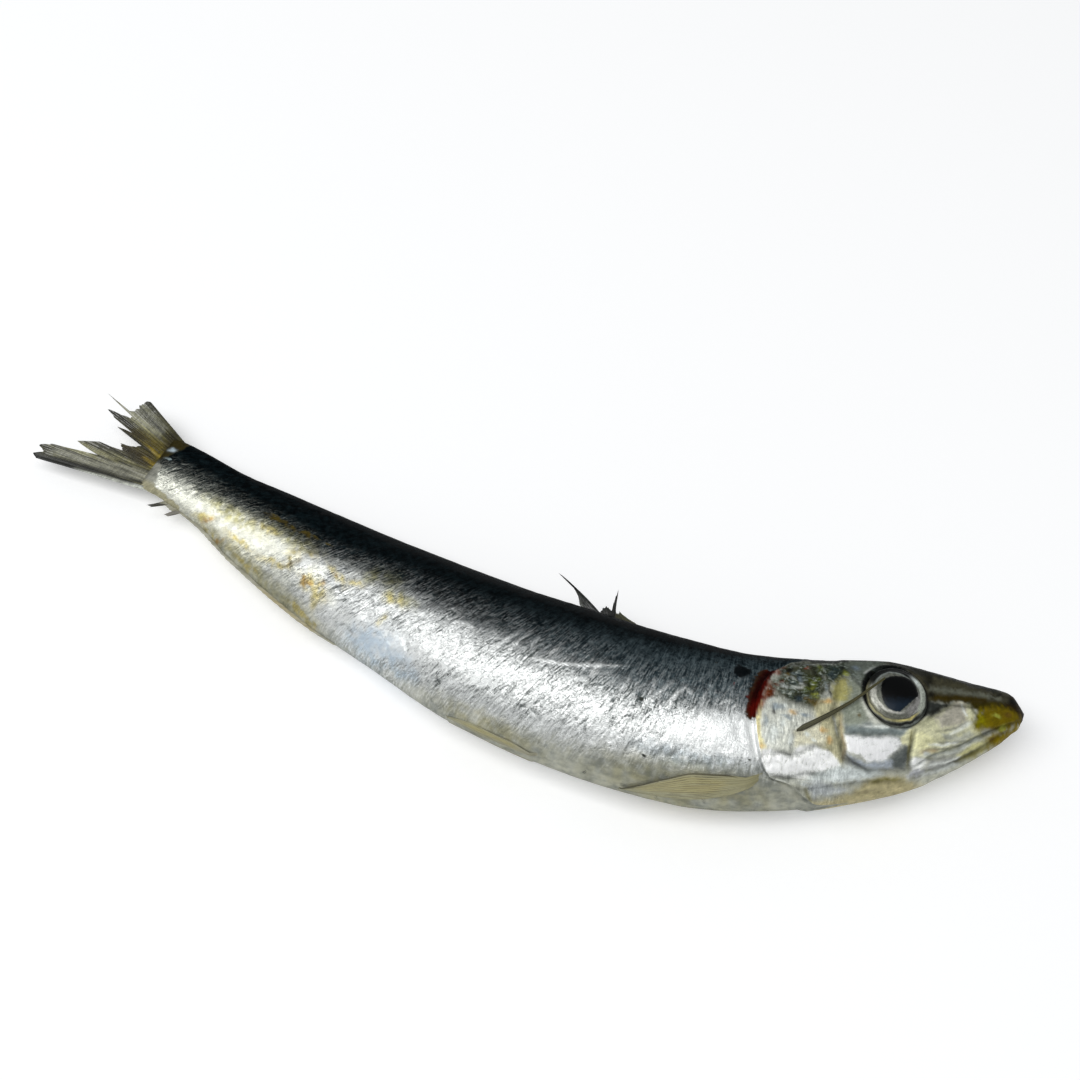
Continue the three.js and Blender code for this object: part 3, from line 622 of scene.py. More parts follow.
# Patches of the head, painted in this order: colour on a screen, shine, softness, outline
headPatches = dict(
    face=((84, 84, 70), 0.35, 1, [
        (-2, -1.6), (5, -2.4), (8, -0.6), (11, 0.4), (16, 0.4), (18, 7), (30, 7.4), (30, 12),
        (-2, 12)]),
    jaw=((178, 179, 165), 0.45, 0.4, [
        (0, -1), (5, -3), (8, -4.4), (11, -6), (15.4, -7.6), (19, -9), (26, -9.4), (33, -10),
        (36, -11.2), (42, -12), (42, -16), (20, -13.5), (10, -9.5), (3, -5.5), (0, -2.5)]),
    jawOlive=((189, 186, 136), 0.3, 0.35, [
        (5.6, -4), (8.6, -5.2), (11.6, -6.9), (11, -7.6), (8.2, -6.4), (5.4, -5)]),
    jawTan=((172, 163, 126), 0.25, 0.7, [
        (15, -11), (18, -10.9), (21, -10.3), (24.6, -10.3), (27, -11.6), (31, -12.9), (42, -14.2),
        (42, -17), (20, -15), (14, -11.4)]),
    jawGrey=((164, 166, 162), 0.5, 0.3, [
        (11, -7.2), (13, -7.4), (16, -8), (16.4, -9), (14, -9), (11.4, -8)]),
    jawWhite=((252, 254, 250), 0.7, 0.3, [
        (16.4, -7.9), (18.4, -7.6), (19, -8.6), (18.6, -9.4), (17.4, -9.1), (16.6, -8.6)]),
    jawViolet=((202, 204, 208), 0.6, 0.4, [
        (16.8, -9.2), (18.8, -9.4), (19.4, -10), (17.8, -10), (16.6, -9.7)]),
    throatBlue=((217, 224, 222), 0.6, 0.7, [
        (24, -9.3), (29, -8.9), (33, -9.6), (35.2, -11.2), (33, -11), (30, -11.1), (26.4, -10.7),
        (23.4, -10)]),
    throatGrey=((178, 183, 184), 0.5, 0.6, [
        (35, -11.4), (33.6, -12.7), (31, -12.5), (28, -11.9), (29.6, -11.6), (33, -11)]),
    membrane=((171, 172, 158), 0.4, 0.3, [
        (42, -12), (38.6, -12.2), (35.4, -12.3), (34.4, -13), (34.6, -15), (42, -15.6)]),
    upperJaw=((206, 205, 170), 0.4, 0.2, [
        (8.5, 0.4), (10, 0.8), (11, 0.7), (12.5, 0), (14, -0.9), (16, -1.9), (18, -3), (18.7, -4),
        (18.9, -5.4), (19.3, -7.2), (19.5, -9.2), (18.8, -7.6), (16, -7.7), (14, -7.3), (12, -6.7),
        (10, -5.7), (8.2, -4.7), (6.8, -4), (8, -3.3), (8.7, -2.3), (8, -1)]),
    upperJawPink=((174, 170, 156), 0.5, 0.7, [
        (14.6, -1.6), (12.4, -0.2), (11, 0.9), (9.4, 1), (9.4, -2), (11.4, -3), (14, -3.3)]),
    upperJawGrey=((182, 184, 168), 0.5, 0.3, [
        (14, -4.2), (11.4, -4.5), (9.2, -3.6), (8.8, -4.2), (10.6, -5.2), (13.4, -5.1)]),
    upperJawCream=((220, 218, 174), 0.35, 0.4, [
        (18.4, -4.2), (17, -4), (15.4, -4.8), (14.6, -5.6), (16.4, -6.6), (18.4, -6.4)]),
    snout=((62, 60, 46), 0.25, 0.25, [
        (-1, 0.6), (1.5, 0.3), (3, 0.6), (5.8, 0.9), (8, 0.6), (10, 0.85), (11.2, 0.85), (12.4, 0.4),
        (13.6, 0.7), (15.6, 0.7), (16, 2.4), (16.5, 4.4), (18, 5.9), (20, 6.5), (22, 6.7), (22, 10),
        (-1, 10)]),
    snoutSheen=((98, 100, 88), 0.4, 0.6, [
        (14.6, 3.2), (11, 2.9), (7, 2.5), (3.4, 2.1), (3.6, 1.5), (8, 1.8), (12.6, 2.1), (14.8, 2.4)]),
    snoutTop=((42, 43, 38), 0.3, 0.5, [
        (20, 6.7), (16.6, 5.2), (12, 4.4), (7, 3.4), (3, 2.8), (3, 6), (20, 10)]),
    smoke=((50, 53, 50), 0.35, 0.3, [
        (15.6, 0.8), (13.4, 0.5), (12.3, 0.3), (13.2, -0.3), (14.4, -1), (16.4, -1.9), (18.2, -3),
        (17.2, -1.6), (15.9, -0.4)]),
    snoutLip=((50, 44, 9), 0.25, 0.4, [
        (8.6, 0.9), (6, 1.3), (3, 1.1), (1.6, 0.4), (1.4, -1), (3, -0.8), (5, -0.2), (7, -0.4),
        (8.2, -0.6)]),
    snoutBrown=((52, 43, 11), 0.2, 0.4, [
        (14.8, 1.9), (12.8, 1.7), (9.6, 1.9), (6, 1.7), (5.8, 1), (8, 0.7), (10.4, 0.9), (12.4, 0.7),
        (14.8, 0.9)]),
    snoutTip=((40, 30, 9), 0.3, 0.3, [
        (-1, 3), (1.4, 2.9), (2, 1.6), (3.2, 0.8), (2.4, 0), (1.6, -1), (1, -1.9), (-1, -2)]),
    lip=((104, 90, 8), 0.25, 0.9, [
        (8.8, -2.5), (8, -1.1), (6.8, -0.2), (5, 0.4), (3.4, 0.4), (1.8, -0.1), (0.7, -0.9),
        (0.7, -1.7), (2.2, -2.5), (3.6, -3.1), (5.2, -3.5), (6.4, -3.4), (7.6, -3.5), (8.5, -3.4)]),
    lipBright=((122, 116, 8), 0.25, 0.8, [
        (8.6, -2.6), (8, -1.3), (7.2, -0.7), (6.6, -1.6), (6.6, -2.6), (7.6, -3)]),
    jawTip=((122, 106, 14), 0.25, 0.8, [
        (0.6, -1.6), (2.2, -2.4), (3.4, -3), (5.2, -3.6), (6.8, -4.2), (6.4, -5.6), (3, -4.8),
        (0.6, -3)]),
    cheek=((254, 255, 254), 0.8, 0.2, [
        (28.8, -4.7), (26, -4.9), (22, -4.7), (20.4, -5), (20.3, -5.8), (21.4, -6.9), (22.6, -7.9),
        (23.6, -8.4), (25.8, -8.4), (26.6, -7.4), (28.6, -7), (28.9, -6)]),
    cheekDark=((92, 97, 95), 0.4, 0.5, [
        (18.9, -6.4), (19.6, -6), (20.6, -6.4), (21.4, -7.2), (22.4, -8), (23, -9.1), (21.5, -9.3),
        (20, -9.3), (19.3, -8.2)]),
    cheekViolet=((184, 192, 201), 0.6, 0.45, [
        (22, -8.2), (23.4, -8.4), (26, -8.5), (27.6, -8.1), (29, -7), (28.2, -8.8), (25, -9.4),
        (22, -9.2)]),
    knob=((218, 216, 176), 0.3, 0.2, [
        (18.1, -3.2), (18.9, -3.7), (20.3, -4.8), (20.2, -5.6), (19.2, -6.2), (18.8, -5.4),
        (18.4, -4.2)]),
    underEye=((130, 140, 139), 0.6, 0.6, [
        (18.4, -3), (20, -3.4), (24, -3.4), (26, -2.6), (28.9, -3), (28.9, -4.7), (26, -4.9),
        (22, -4.7), (20.3, -4.9)]),
    behindEye=((150, 156, 141), 0.5, 0.6, [
        (24.8, 3), (25.8, 0), (25, -2.4), (26.4, -3.3), (28.9, -3.2), (29.2, -0.4), (28.6, 1),
        (27.6, 3.6), (26.6, 4.6)]),
    temple=((104, 110, 102), 0.5, 0.7, [
        (20.6, 7), (22.4, 6.2), (24.4, 4.2), (25.4, 2.8), (26.2, 3.8), (27.4, 4.6), (28.4, 5.4),
        (28.5, 7), (26, 7.6), (21, 7.7)]),
    crown=((92, 96, 88), 0.4, 0.6, [(22.6, 7), (26.6, 7.4), (28, 8), (26, 9), (22.6, 8.8)]),
    nape=((18, 20, 15), 0.35, 0.6, [
        (26.8, 7), (30, 6.7), (31.6, 6.9), (33, 7.3), (36, 6.6), (38.2, 5.5), (40.4, 5), (42, 5.6),
        (42, 12), (28, 12), (26.4, 7.8)]),
    templeDark=((46, 56, 47), 0.4, 0.6, [
        (27.6, 6.6), (26.9, 5.2), (27.7, 4.4), (28.6, 3.7), (29.8, 3.2), (30.6, 3.6), (31.2, 5.8),
        (30.4, 7)]),
    headTop=((30, 34, 29), 0.35, 0.9, [
        (-1, 3.4), (8, 5.2), (14, 6.4), (20, 7.4), (27, 7.8), (33, 8.2), (42, 9), (42, 13), (-1, 13)]),
    creamUpper=((178, 172, 110), 0.3, 0.7, [
        (29.9, 0), (27.6, 0.5), (27.2, 2), (27.4, 3.8), (28.2, 4.2), (29.6, 3.2), (30, 2)]),
    creamBand=((182, 178, 145), 0.3, 0.6, [
        (29.4, 0.4), (32.6, 1), (33.4, -0.6), (32.8, -2.6), (33, -5), (32.4, -6.6), (31, -8.2),
        (29.4, -8.7), (28.9, -6.6), (28.9, -3), (29.2, -1)]),
    coverUpper=((70, 72, 56), 0.35, 1.3, [
        (39.4, 0.6), (38, 4), (37, 5.8), (34.6, 6.8), (32.4, 7.2), (30.9, 6.6), (30.5, 4), (31, 2),
        (32, 0.8), (33.6, -0.9), (36.6, -0.3)]),
    coverSilver=((208, 210, 200), 0.7, 1.1, [
        (40.8, 0.4), (38.6, 0.4), (36.6, -0.4), (33.8, -1.2), (33, -3.6), (33.6, -6), (36, -7.9),
        (41, -7.6), (42.2, -4)]),
    coverCream=((208, 205, 182), 0.4, 0.4, [
        (36.2, -4.4), (34.2, -3.6), (32.4, -3.2), (31.6, -5), (32, -6.6), (34.4, -6.2), (36.3, -6.6)]),
    foil=((254, 255, 252), 0.6, 0.3, [
        (41.2, -7), (38.6, -7.4), (36.6, -7.7), (35.6, -6.6), (33.6, -6.3), (31.4, -7), (30, -8.6),
        (30, -9), (33.4, -9.8), (35.6, -10.8), (38, -10.5), (40.8, -10.2)]),
    rust=((98, 42, 14), 0.2, 0.45, [(40.5, 0.2), (40.1, 1.5), (39.4, 2.5), (38.6, 1.8), (38.9, 0.6)]),
    bloodBrown=((54, 38, 24), 0.25, 0.7, [
        (39.6, 5.5), (40.8, 5.2), (41.9, 3.2), (42.6, 1), (43, -1), (43, -2.9), (42.2, -3), (41, 0),
        (39.6, 3)]),
    blood=((76, 11, 5), 0.15, 0.25, [
        (38.4, 5.3), (40, 5.2), (41.2, 3.4), (41.9, 1.6), (42.5, 0), (42.9, -1.5), (42.6, -2.5),
        (41.7, -2.8), (41, -1.4), (40.5, 0.2), (40, 2), (39.2, 3.6), (38.2, 4.6)]),
    bloodDark=((30, 3, 2), 0.2, 0.4, [
        (37.4, 5.6), (40.2, 5.2), (41.2, 3.4), (41.9, 1.8), (42.4, 0), (42.2, -0.8), (41.4, 0.2),
        (40.7, 1.4), (40.1, 2.8), (38.8, 4.4)]),
    edgeCream=((232, 222, 170), 0.3, 0.18, [
        (40.7, -0.2), (41.4, -2), (41.9, -4), (41.5, -6), (41, -7.4), (40.3, -7), (41, -5.4),
        (41.1, -3.6), (40.9, -2)]),
)

# Streaks of the head: colour, shine, then the width and the points of each line
headStreaks = dict(
    dark=((24, 25, 18), 0.2, [
        (0.3, [(40.2, 5.2), (38, 6), (36, 6.7), (33, 7.3)]),
        (0.3, [(32.8, 6.4), (31.9, 4.4), (32.2, 2.4), (32.6, 1)]),
        (0.22, [(30.1, 3.6), (30.4, 2.2), (30.2, 0.8)]), (0.35, [(37.6, 5.6), (36.4, 5), (35.8, 6)]),
        (0.2, [(39.2, -0.8), (39, -1.4), (38.7, -1.8)]),
        (0.25, [(12, 0.3), (13.4, -0.2), (15, -1.1), (17, -2)])]),
    grey=((104, 106, 100), 0.4, [
        (0.22, [(6.2, -3.5), (9, -5), (11.4, -6.3), (14, -7.4), (16, -7.9)]),
        (0.2, [(8.4, -6), (10.6, -7.2), (13, -8.4)]),
        (0.16, [(12.6, -8.3), (15.6, -9.4), (19, -10.4)]),
        (0.2, [(39.2, -10.5), (37.6, -10.8), (36, -10.8)]),
        (0.28, [(38, -11.6), (36.6, -12), (35.4, -11.9)]),
        (0.2, [(36.3, -4.4), (36.6, -6), (36.9, -7.7), (38.4, -7.5)]),
        (0.2, [(29, -6.6), (28.9, -7.6), (27.8, -8.6), (25.6, -9.4)]),
        (0.18, [(14.6, -4), (11.4, -3.2), (9.4, -2.2)]),
        (0.16, [(15, -5.4), (12.4, -5.4), (9.6, -4.9)]),
        (0.16, [(16.4, -6.6), (13, -6.1), (10, -5.2)])]),
    olive=((122, 116, 66), 0.3, [
        (0.2, [(18.4, -3.6), (18.9, -5.4), (19.3, -7), (19.4, -9)]),
        (0.2, [(34.8, -11.8), (34.4, -12.6), (33.8, -13.3)]),
        (0.3, [(5.6, -5), (8.6, -6.4), (11.6, -7.9)]), (0.3, [(20, -10.6), (23, -10.6), (25.6, -11)])]),
    pale=((226, 230, 224), 0.6, [
        (0.3, [(17.4, -7.5), (15, -7.2), (12, -6.4), (9.6, -5.3), (7.6, -4.3)]),
        (0.34, [(12.9, -4.4), (10.8, -3.4), (8.7, -2.2)]),
        (0.2, [(10.2, 0.5), (9.9, -0.6), (9.4, -1.4)]),
        (0.2, [(16, -5.9), (13.6, -5.7), (11.4, -5.3)]),
        (0.2, [(30.2, -1.8), (30.2, -3.2), (29.9, -5)]), (0.2, [(37.6, 2.2), (35.8, 2.2), (34, 2.5)]),
        (0.22, [(24.4, 5.2), (23.4, 6), (22.4, 6.2)]), (0.2, [(31, 3.2), (30.9, 2)]),
        (0.2, [(38.4, 7.4), (37.4, 7)]), (0.22, [(26.6, -3.4), (23, -3.5), (19.6, -3.4)]),
        (0.25, [(39.6, -11.2), (37.6, -11.3)]), (0.16, [(16.2, -8.6), (13, -7.9), (11, -7)]),
        (0.2, [(17.4, -9.9), (14, -8.9), (11, -7.9)])]),
    rust=((112, 52, 22), 0.2, [
        (0.3, [(41.3, -2.2), (40.6, -0.4), (40, 1.2), (39.2, 3)]),
        (0.25, [(39, 4.8), (37.8, 5.4), (36.4, 5.6)])]),
    tan=((164, 146, 112), 0.3, [
        (0.25, [(29.3, -2), (29.2, -4), (29, -6.6), (29.4, -8.4)]),
        (0.25, [(17.6, -6.9), (14.6, -6.5)])]),
)

# Marks of the head: colour, shine, then ellipses: station, height, both radii, tilt in degrees
headMarks = dict(
    dark=((16, 17, 14), 0.3, [
        (1.6, 1.6, 0.9, 0.9, 0), (14.9, 4.2, 0.8, 1.2, 10), (14.7, 1.8, 0.7, 0.6, 0),
        (3.4, 2.6, 0.6, 0.3, 0), (27.8, 5.7, 0.6, 0.6, 0), (36.2, 5.2, 0.9, 0.5, -30),
        (37.2, 4.6, 0.9, 0.5, -20), (30.6, 6.4, 0.6, 0.4, 0), (33.6, 3.4, 0.3, 0.4, 0),
        (31.2, 4.2, 0.3, 0.7, 0), (34.8, 1.4, 1.1, 0.25, 0), (36.6, 3.4, 0.4, 0.4, 0),
        (38.9, -1.6, 0.3, 0.25, 0), (38.9, -11.8, 0.28, 0.22, 0)]),
    navy=((46, 60, 70), 0.5, [
        (35.3, 0.5, 1.2, 0.6, 6), (34.8, 4.2, 0.6, 0.7, 0), (35.8, 2.8, 0.7, 0.4, 0),
        (29.3, 4.9, 0.7, 1, 0)]),
    green=((96, 108, 20), 0.25, [
        (32.9, 3.2, 0.7, 1, -20), (33.8, 2, 0.7, 0.4, 0), (31.3, 5.8, 0.4, 0.8, 0),
        (31.9, 4, 0.4, 0.5, 0)]),
    lime=((160, 166, 70), 0.25, [
        (32.9, 2.3, 0.5, 0.3, -20), (32.8, 1.1, 0.5, 0.4, 0), (27.5, 5, 0.4, 0.5, 0),
        (3.9, -2.6, 0.8, 0.4, -30), (4.7, -1.1, 0.6, 0.3, 0)]),
    slate=((128, 142, 152), 0.6, [
        (34.6, 3.6, 0.6, 0.5, 0), (35.6, 4.4, 0.5, 0.3, 0), (25.6, 6, 0.8, 0.4, 0),
        (33.4, 6.3, 0.6, 0.3, 0), (30.9, 2.6, 0.3, 0.7, 0), (34.6, -1.9, 0.9, 0.3, 15),
        (38.4, -0.9, 1.2, 0.4, 0), (37.2, -2.4, 0.9, 0.3, 20), (40.2, -3.2, 0.3, 1, 0)]),
    brown=((104, 82, 26), 0.2, [
        (32.8, 0, 0.8, 0.6, 0), (33.8, 0.4, 0.5, 0.4, 0), (36.8, 4, 0.4, 0.5, 0),
        (2.8, -0.8, 0.8, 0.4, 0), (5.6, -4.6, 0.7, 0.3, -30), (26.5, -1.8, 0.35, 0.3, 0)]),
    red=((132, 44, 24), 0.2, [
        (38.3, 4.5, 0.5, 0.35, 0), (33.5, 5.45, 0.5, 0.2, 0), (37.6, 3, 0.3, 0.3, 0),
        (36.7, -13.8, 0.3, 0.18, 0), (38.4, 2.4, 0.4, 0.3, 0)]),
    amber=((196, 158, 96), 0.2, [
        (41.75, -5.2, 0.25, 0.9, 8), (40.9, -6.8, 0.4, 0.3, 0), (31.2, -5.6, 0.4, 0.6, 0),
        (31.9, -4.2, 0.5, 0.4, 0), (36.3, -1.7, 0.6, 0.5, 0), (30.9, 0.3, 0.9, 0.4, 0),
        (42.3, -2.7, 0.35, 0.3, 0)]),
    pale=((214, 220, 216), 0.6, [
        (37.4, 2.4, 0.5, 0.4, 0), (32.4, 6.4, 0.4, 0.25, 0), (34.6, 2.9, 0.3, 0.2, 0),
        (36.2, 3.6, 0.3, 0.3, 0), (39.4, 0, 0.5, 0.3, 0), (37.4, -0.6, 0.4, 0.3, 0),
        (34.4, -4.8, 0.5, 0.4, 0), (33.4, -5.6, 0.4, 0.3, 0), (16.2, -7, 0.5, 0.3, 0),
        (39.4, -5, 0.8, 1.4, 10), (38, -3.6, 0.4, 1, 10), (36.9, -5.6, 0.3, 0.8, 0)]),
)
# Painted shadow on the skin round each eye, widening towards the rear upper corner under the brow
eyeRimShadow = dict(colour=(18, 20, 20), shine=0.3, width=-0.1, wider=0.75)

# Stains of the trunk that hide its silver: colour, shine, least and most strength, ellipses
trunkMarks = dict(
    spot=((4, 9, 12), 0.3, 1, 1, [(43.6, 4.6, 1.5, 1.3, 0)]),
    blood=((104, 34, 30), 0.2, 0.45, 1, [(45.1, 2.2, 0.3, 0.2, 0), (43.1, 0.4, 0.3, 0.2, 0)]),
    gold=((150, 140, 92), 0.25, 0.3375, 0.75, [
        (112, -10.4, 6, 0.6, 10), (135.6, -6.6, 2.4, 0.5, 10), (126, -8.2, 5, 0.55, 10)]),
    speck=((44, 46, 42), 0.2, 0.45, 1, [
        (47.2, -14.2, 0.3, 0.25, 0), (55.6, -10.9, 0.5, 0.3, 20), (48, 5.6, 0.5, 0.3, 0),
        (57.8, -3.3, 0.6, 0.5, 40), (62.6, -14.3, 0.3, 0.2, 0), (53, -14.8, 0.3, 0.2, 0),
        (42.2, -8.9, 0.7, 0.16, -45)]),
    olive=((70, 60, 22), 0.4, 0.36, 0.8, [
        (126.4, 0.3, 2.6, 0.7, -4), (122.4, 0.1, 2.6, 0.7, 4), (118.4, 0.6, 2.6, 0.6, 2),
        (114, 0.6, 1.6, 0.35, 8)]),
    tailBright=((196, 212, 222), 0.6, 1, 1, [(150.9, 2.9, 0.8, 0.45, -10)]),
    tailDim=((132, 146, 148), 0.6, 1, 1, [(150.4, 1.2, 0.9, 0.3, -10)]),
)

# Stains that tint the silver: the screen colour of pure silver under them, ellipses
trunkTints = dict(
    olive=((212, 206, 150), [
        (101, 0.4, 1.6, 1.2, 0), (104.4, -0.6, 0.9, 1.2, 0), (121, -1, 5, 1, 0), (133, -2.4, 5, 1, 4),
        (98, -2.2, 2, 0.8, 0)]),
    tan=((226, 219, 186), [
        (50, -13.4, 9, 1.8, 0), (77, -13.4, 6, 0.9, 3), (118, -9.6, 7, 0.9, 9),
        (130, -7.4, 7, 0.8, 9)]),
    gold=((236, 218, 142), [
        (109.6, -3.1, 1.8, 0.5, 16), (112.6, -6.2, 2, 0.8, 8), (118.4, -3.6, 0.8, 1, 0),
        (125.4, -1.9, 1.8, 0.4, 0), (120.6, -6, 2.4, 0.35, -10), (129, -5.8, 2.4, 0.3, 4),
        (137.6, -5.1, 1.4, 0.3, -14), (98.6, -2.6, 1.4, 0.6, 0), (110.4, -7.8, 0.8, 1, 0),
        (98.8, -6.2, 0.5, 0.6, 0), (115.6, -2, 0.8, 0.4, 0), (106, -2.8, 1, 0.4, 0)]),
    orange=((206, 162, 90), [
        (113.7, -6.2, 0.7, 0.3, -10), (111.2, -5.4, 0.4, 0.3, 0), (109.9, -3.1, 0.5, 0.2, 0),
        (136.6, -5.3, 0.7, 0.25, -20), (132.8, -6.8, 0.8, 0.25, -10), (114.6, -5.7, 0.3, 0.25, 0)]),
    brown=((110, 94, 50), [(118, -4.8, 1.2, 0.28, -42)]),
    blue=((212, 228, 244), [
        (99.4, -9.6, 3, 1.4, -14), (95.4, -10.8, 2.6, 1, -12), (91.4, -11.4, 1.4, 0.6, 0)]),
    blueGrey=((208, 216, 222), [(50, -9.6, 5, 0.8, 0)]),
)

# Wrinkles of the flank: shade, under 0 for the painted shade of a crease and over 0 for a lighter
# scratch, width, points
wrinkles = [
    (-0.6, 0.22, [(81, -10.3), (78.5, -8.9), (75, -7.3)]),
    (-0.45, 0.22, [(64, -7.3), (64.3, -9), (63.8, -10.6)]), (-0.4, 0.3, [(58.4, -2.6), (57.6, -4.2)]),
    (-0.35, 0.22, [(86.4, -11.6), (85.4, -9.5), (84.3, -7.2)]),
    (-0.35, 0.22, [(89.5, -6.5), (89, -9), (89.7, -11.2)]),
    (-0.4, 0.22, [(87, -6.6), (87.4, -9), (86, -11.6)]),
    (-0.25, 0.2, [(91.6, -4.5), (90.4, -5.8), (91, -7)]),
    (-0.25, 0.2, [(92.6, -5), (92, -6.4), (90.4, -7.6)]),
    (-0.25, 0.2, [(88.8, -4.6), (88.2, -6.2), (86.6, -7.4)]),
    (-0.25, 0.2, [(86, -3.4), (85.2, -5.4)]), (-0.3, 0.22, [(70.4, -5.4), (69.8, -7.6), (70.6, -9)]),
    (-0.3, 0.22, [(67.4, -6.2), (66.8, -9)]), (-0.5, 0.25, [(61.4, -4.4), (61, -7)]),
    (-0.3, 0.22, [(56.9, -3.6), (56.2, -6.2)]),
    (-0.5, 0.25, [(83.6, -7.4), (81.6, -4.4), (80.4, -2.8)]),
    (-0.5, 0.25, [(74, -9.6), (72, -9.4), (70.4, -10)]), (-0.4, 0.22, [(117.5, -5.4), (118.9, -4.2)]),
    (-0.4, 0.3, [(106, -9.6), (103.6, -9), (102, -9.6)]),
    (0.7, 0.22, [(75.5, -2.9), (70, -1.8), (65, -0.3), (60, 1.5)]),
    (0.5, 0.3, [(82, -5), (79.6, -1.6), (77.6, 1.6)]),
    (0.5, 0.3, [(78.6, -3.4), (77.2, 0), (76.4, 2)]),
    (0.5, 0.3, [(56, -2.6), (54.8, -0.6), (53.8, 0.9)]),
    (0.5, 0.28, [(53.8, -3.4), (53.2, -1.4), (52, 0.1), (50.8, -0.8)]),
    (0.5, 0.3, [(57, -4.6), (56.4, -1), (56.7, 0.8)]), (0.4, 0.3, [(75.6, -1), (75, 1.2)]),
    (0.6, 0.25, [(88, -1.9), (86, -1.5), (84.6, -1.8)]), (0.4, 0.3, [(66, -2), (64.8, 0.4)]),
    (0.4, 0.3, [(72.4, -1.2), (71.2, 1.4)]), (0.4, 0.3, [(61, -3), (60, -0.6)]),
    (0.4, 0.25, [(49.6, -2), (48.8, 0)]), (0.4, 0.25, [(46.6, -1), (45.2, -0.4)]),
]

# Patches at the end of the trunk, where the skin thins out over the root of the tail fin
tailPatches = dict(
    grey=((150, 150, 140), 0.4, 1, [
        (150.6, -0.6), (151.6, -0.2), (153, 0.2), (153, -6), (149.8, -5.6), (150, -2.8)]),
    olive=((50, 44, 16), 0.3, 0.9, [
        (148.8, 6), (149.2, 3.8), (150.4, 2), (151.6, 0.6), (153, 0.2), (153, 6)]),
    keel=((158, 154, 128), 0.4, 0.6, [
        (143, -5.4), (147, -4.7), (151, -4), (153, -3.6), (153, -6), (143, -7)]),
)

# Parts of the head where dark, green and silver flecks lie mixed: how much, and the outline
messyParts = [
    (0.7, [(40, 0.8), (38.4, 4.6), (36.6, 6), (33.6, 7.2), (30.6, 7), (29.6, 4), (30.8, 1.4),
       (33.4, -0.8), (37, -0.4)]),
    (0.5, [(31, 7.4), (27, 7.4), (25, 5.4), (26.6, 3.4), (29.6, 3), (31, 5)]),
    (0.3, [(26, 7.6), (20, 7.6), (24.6, 4), (25.4, -2.4), (28.8, -3), (28.8, 3)]),
]

# Painted highlight that brightens the silver, and painted shade that dims it where the share is under
# 0: how much, then station, height, both radii and tilt
paintedLightAndShade = [
    (0.8, (45, -5.4, 9, 3.4, 0)), (0.22, (66, -7, 15, 3, 0)), (0.25, (95, -5, 12, 3, -6)),
    (0.75, (131, -4, 16, 2.3, -4)), (0.1, (116, -4, 8, 2.6, -4)), (0.45, (92, -8.2, 20, 2.3, -6)),
    (-0.35, (57, -2.2, 9, 1.8, -3)), (-0.15, (70, -3, 8, 1.6, 0)), (-0.25, (76, -0.4, 5, 2, 0)),
    (-0.25, (48, -0.8, 5, 1.3, 0)), (0.3, (97, -9.6, 4, 1.5, -12)),
]


bareTone = (180, 182, 172)
bareShine = 0.5
headEdge = (-0.02, 0.12)  # over which the head's colours end at the gill cover's edge
seepEnd = (3.2, 2)
wornLeast = 0.55  # strength of streaks and marks where they are most worn
tintStrength = 0.85
tintSpread = 1.5
patchSoft = (1.25, 0.15)  # factor and step that soften the patches of the head
patchSpeckle = 1.4
messySoft = 0.8
markWarp = 0.8
rimWarp = 0.4
tintWarp = 2
wrinkleWarp = 0.7
bleeding = ("bloodBrown", "blood", "bloodDark")  # patches that run out over the slit
# Noise that bends and breaks the edges of all stains: amount, size along, size up, seed
skinNoise = dict(
    warp=((0.18, 1.1, 1.1, 21), (0.08, 0.4, 0.4, 22)),
    drift=((0.18, 1.1, 1.1, 23), (0.08, 0.4, 0.4, 24)),
    patchy=((0.5, 0.6, 0.6, 25),),
    speckle=((1, 0.3, 0.5, 26),),
)


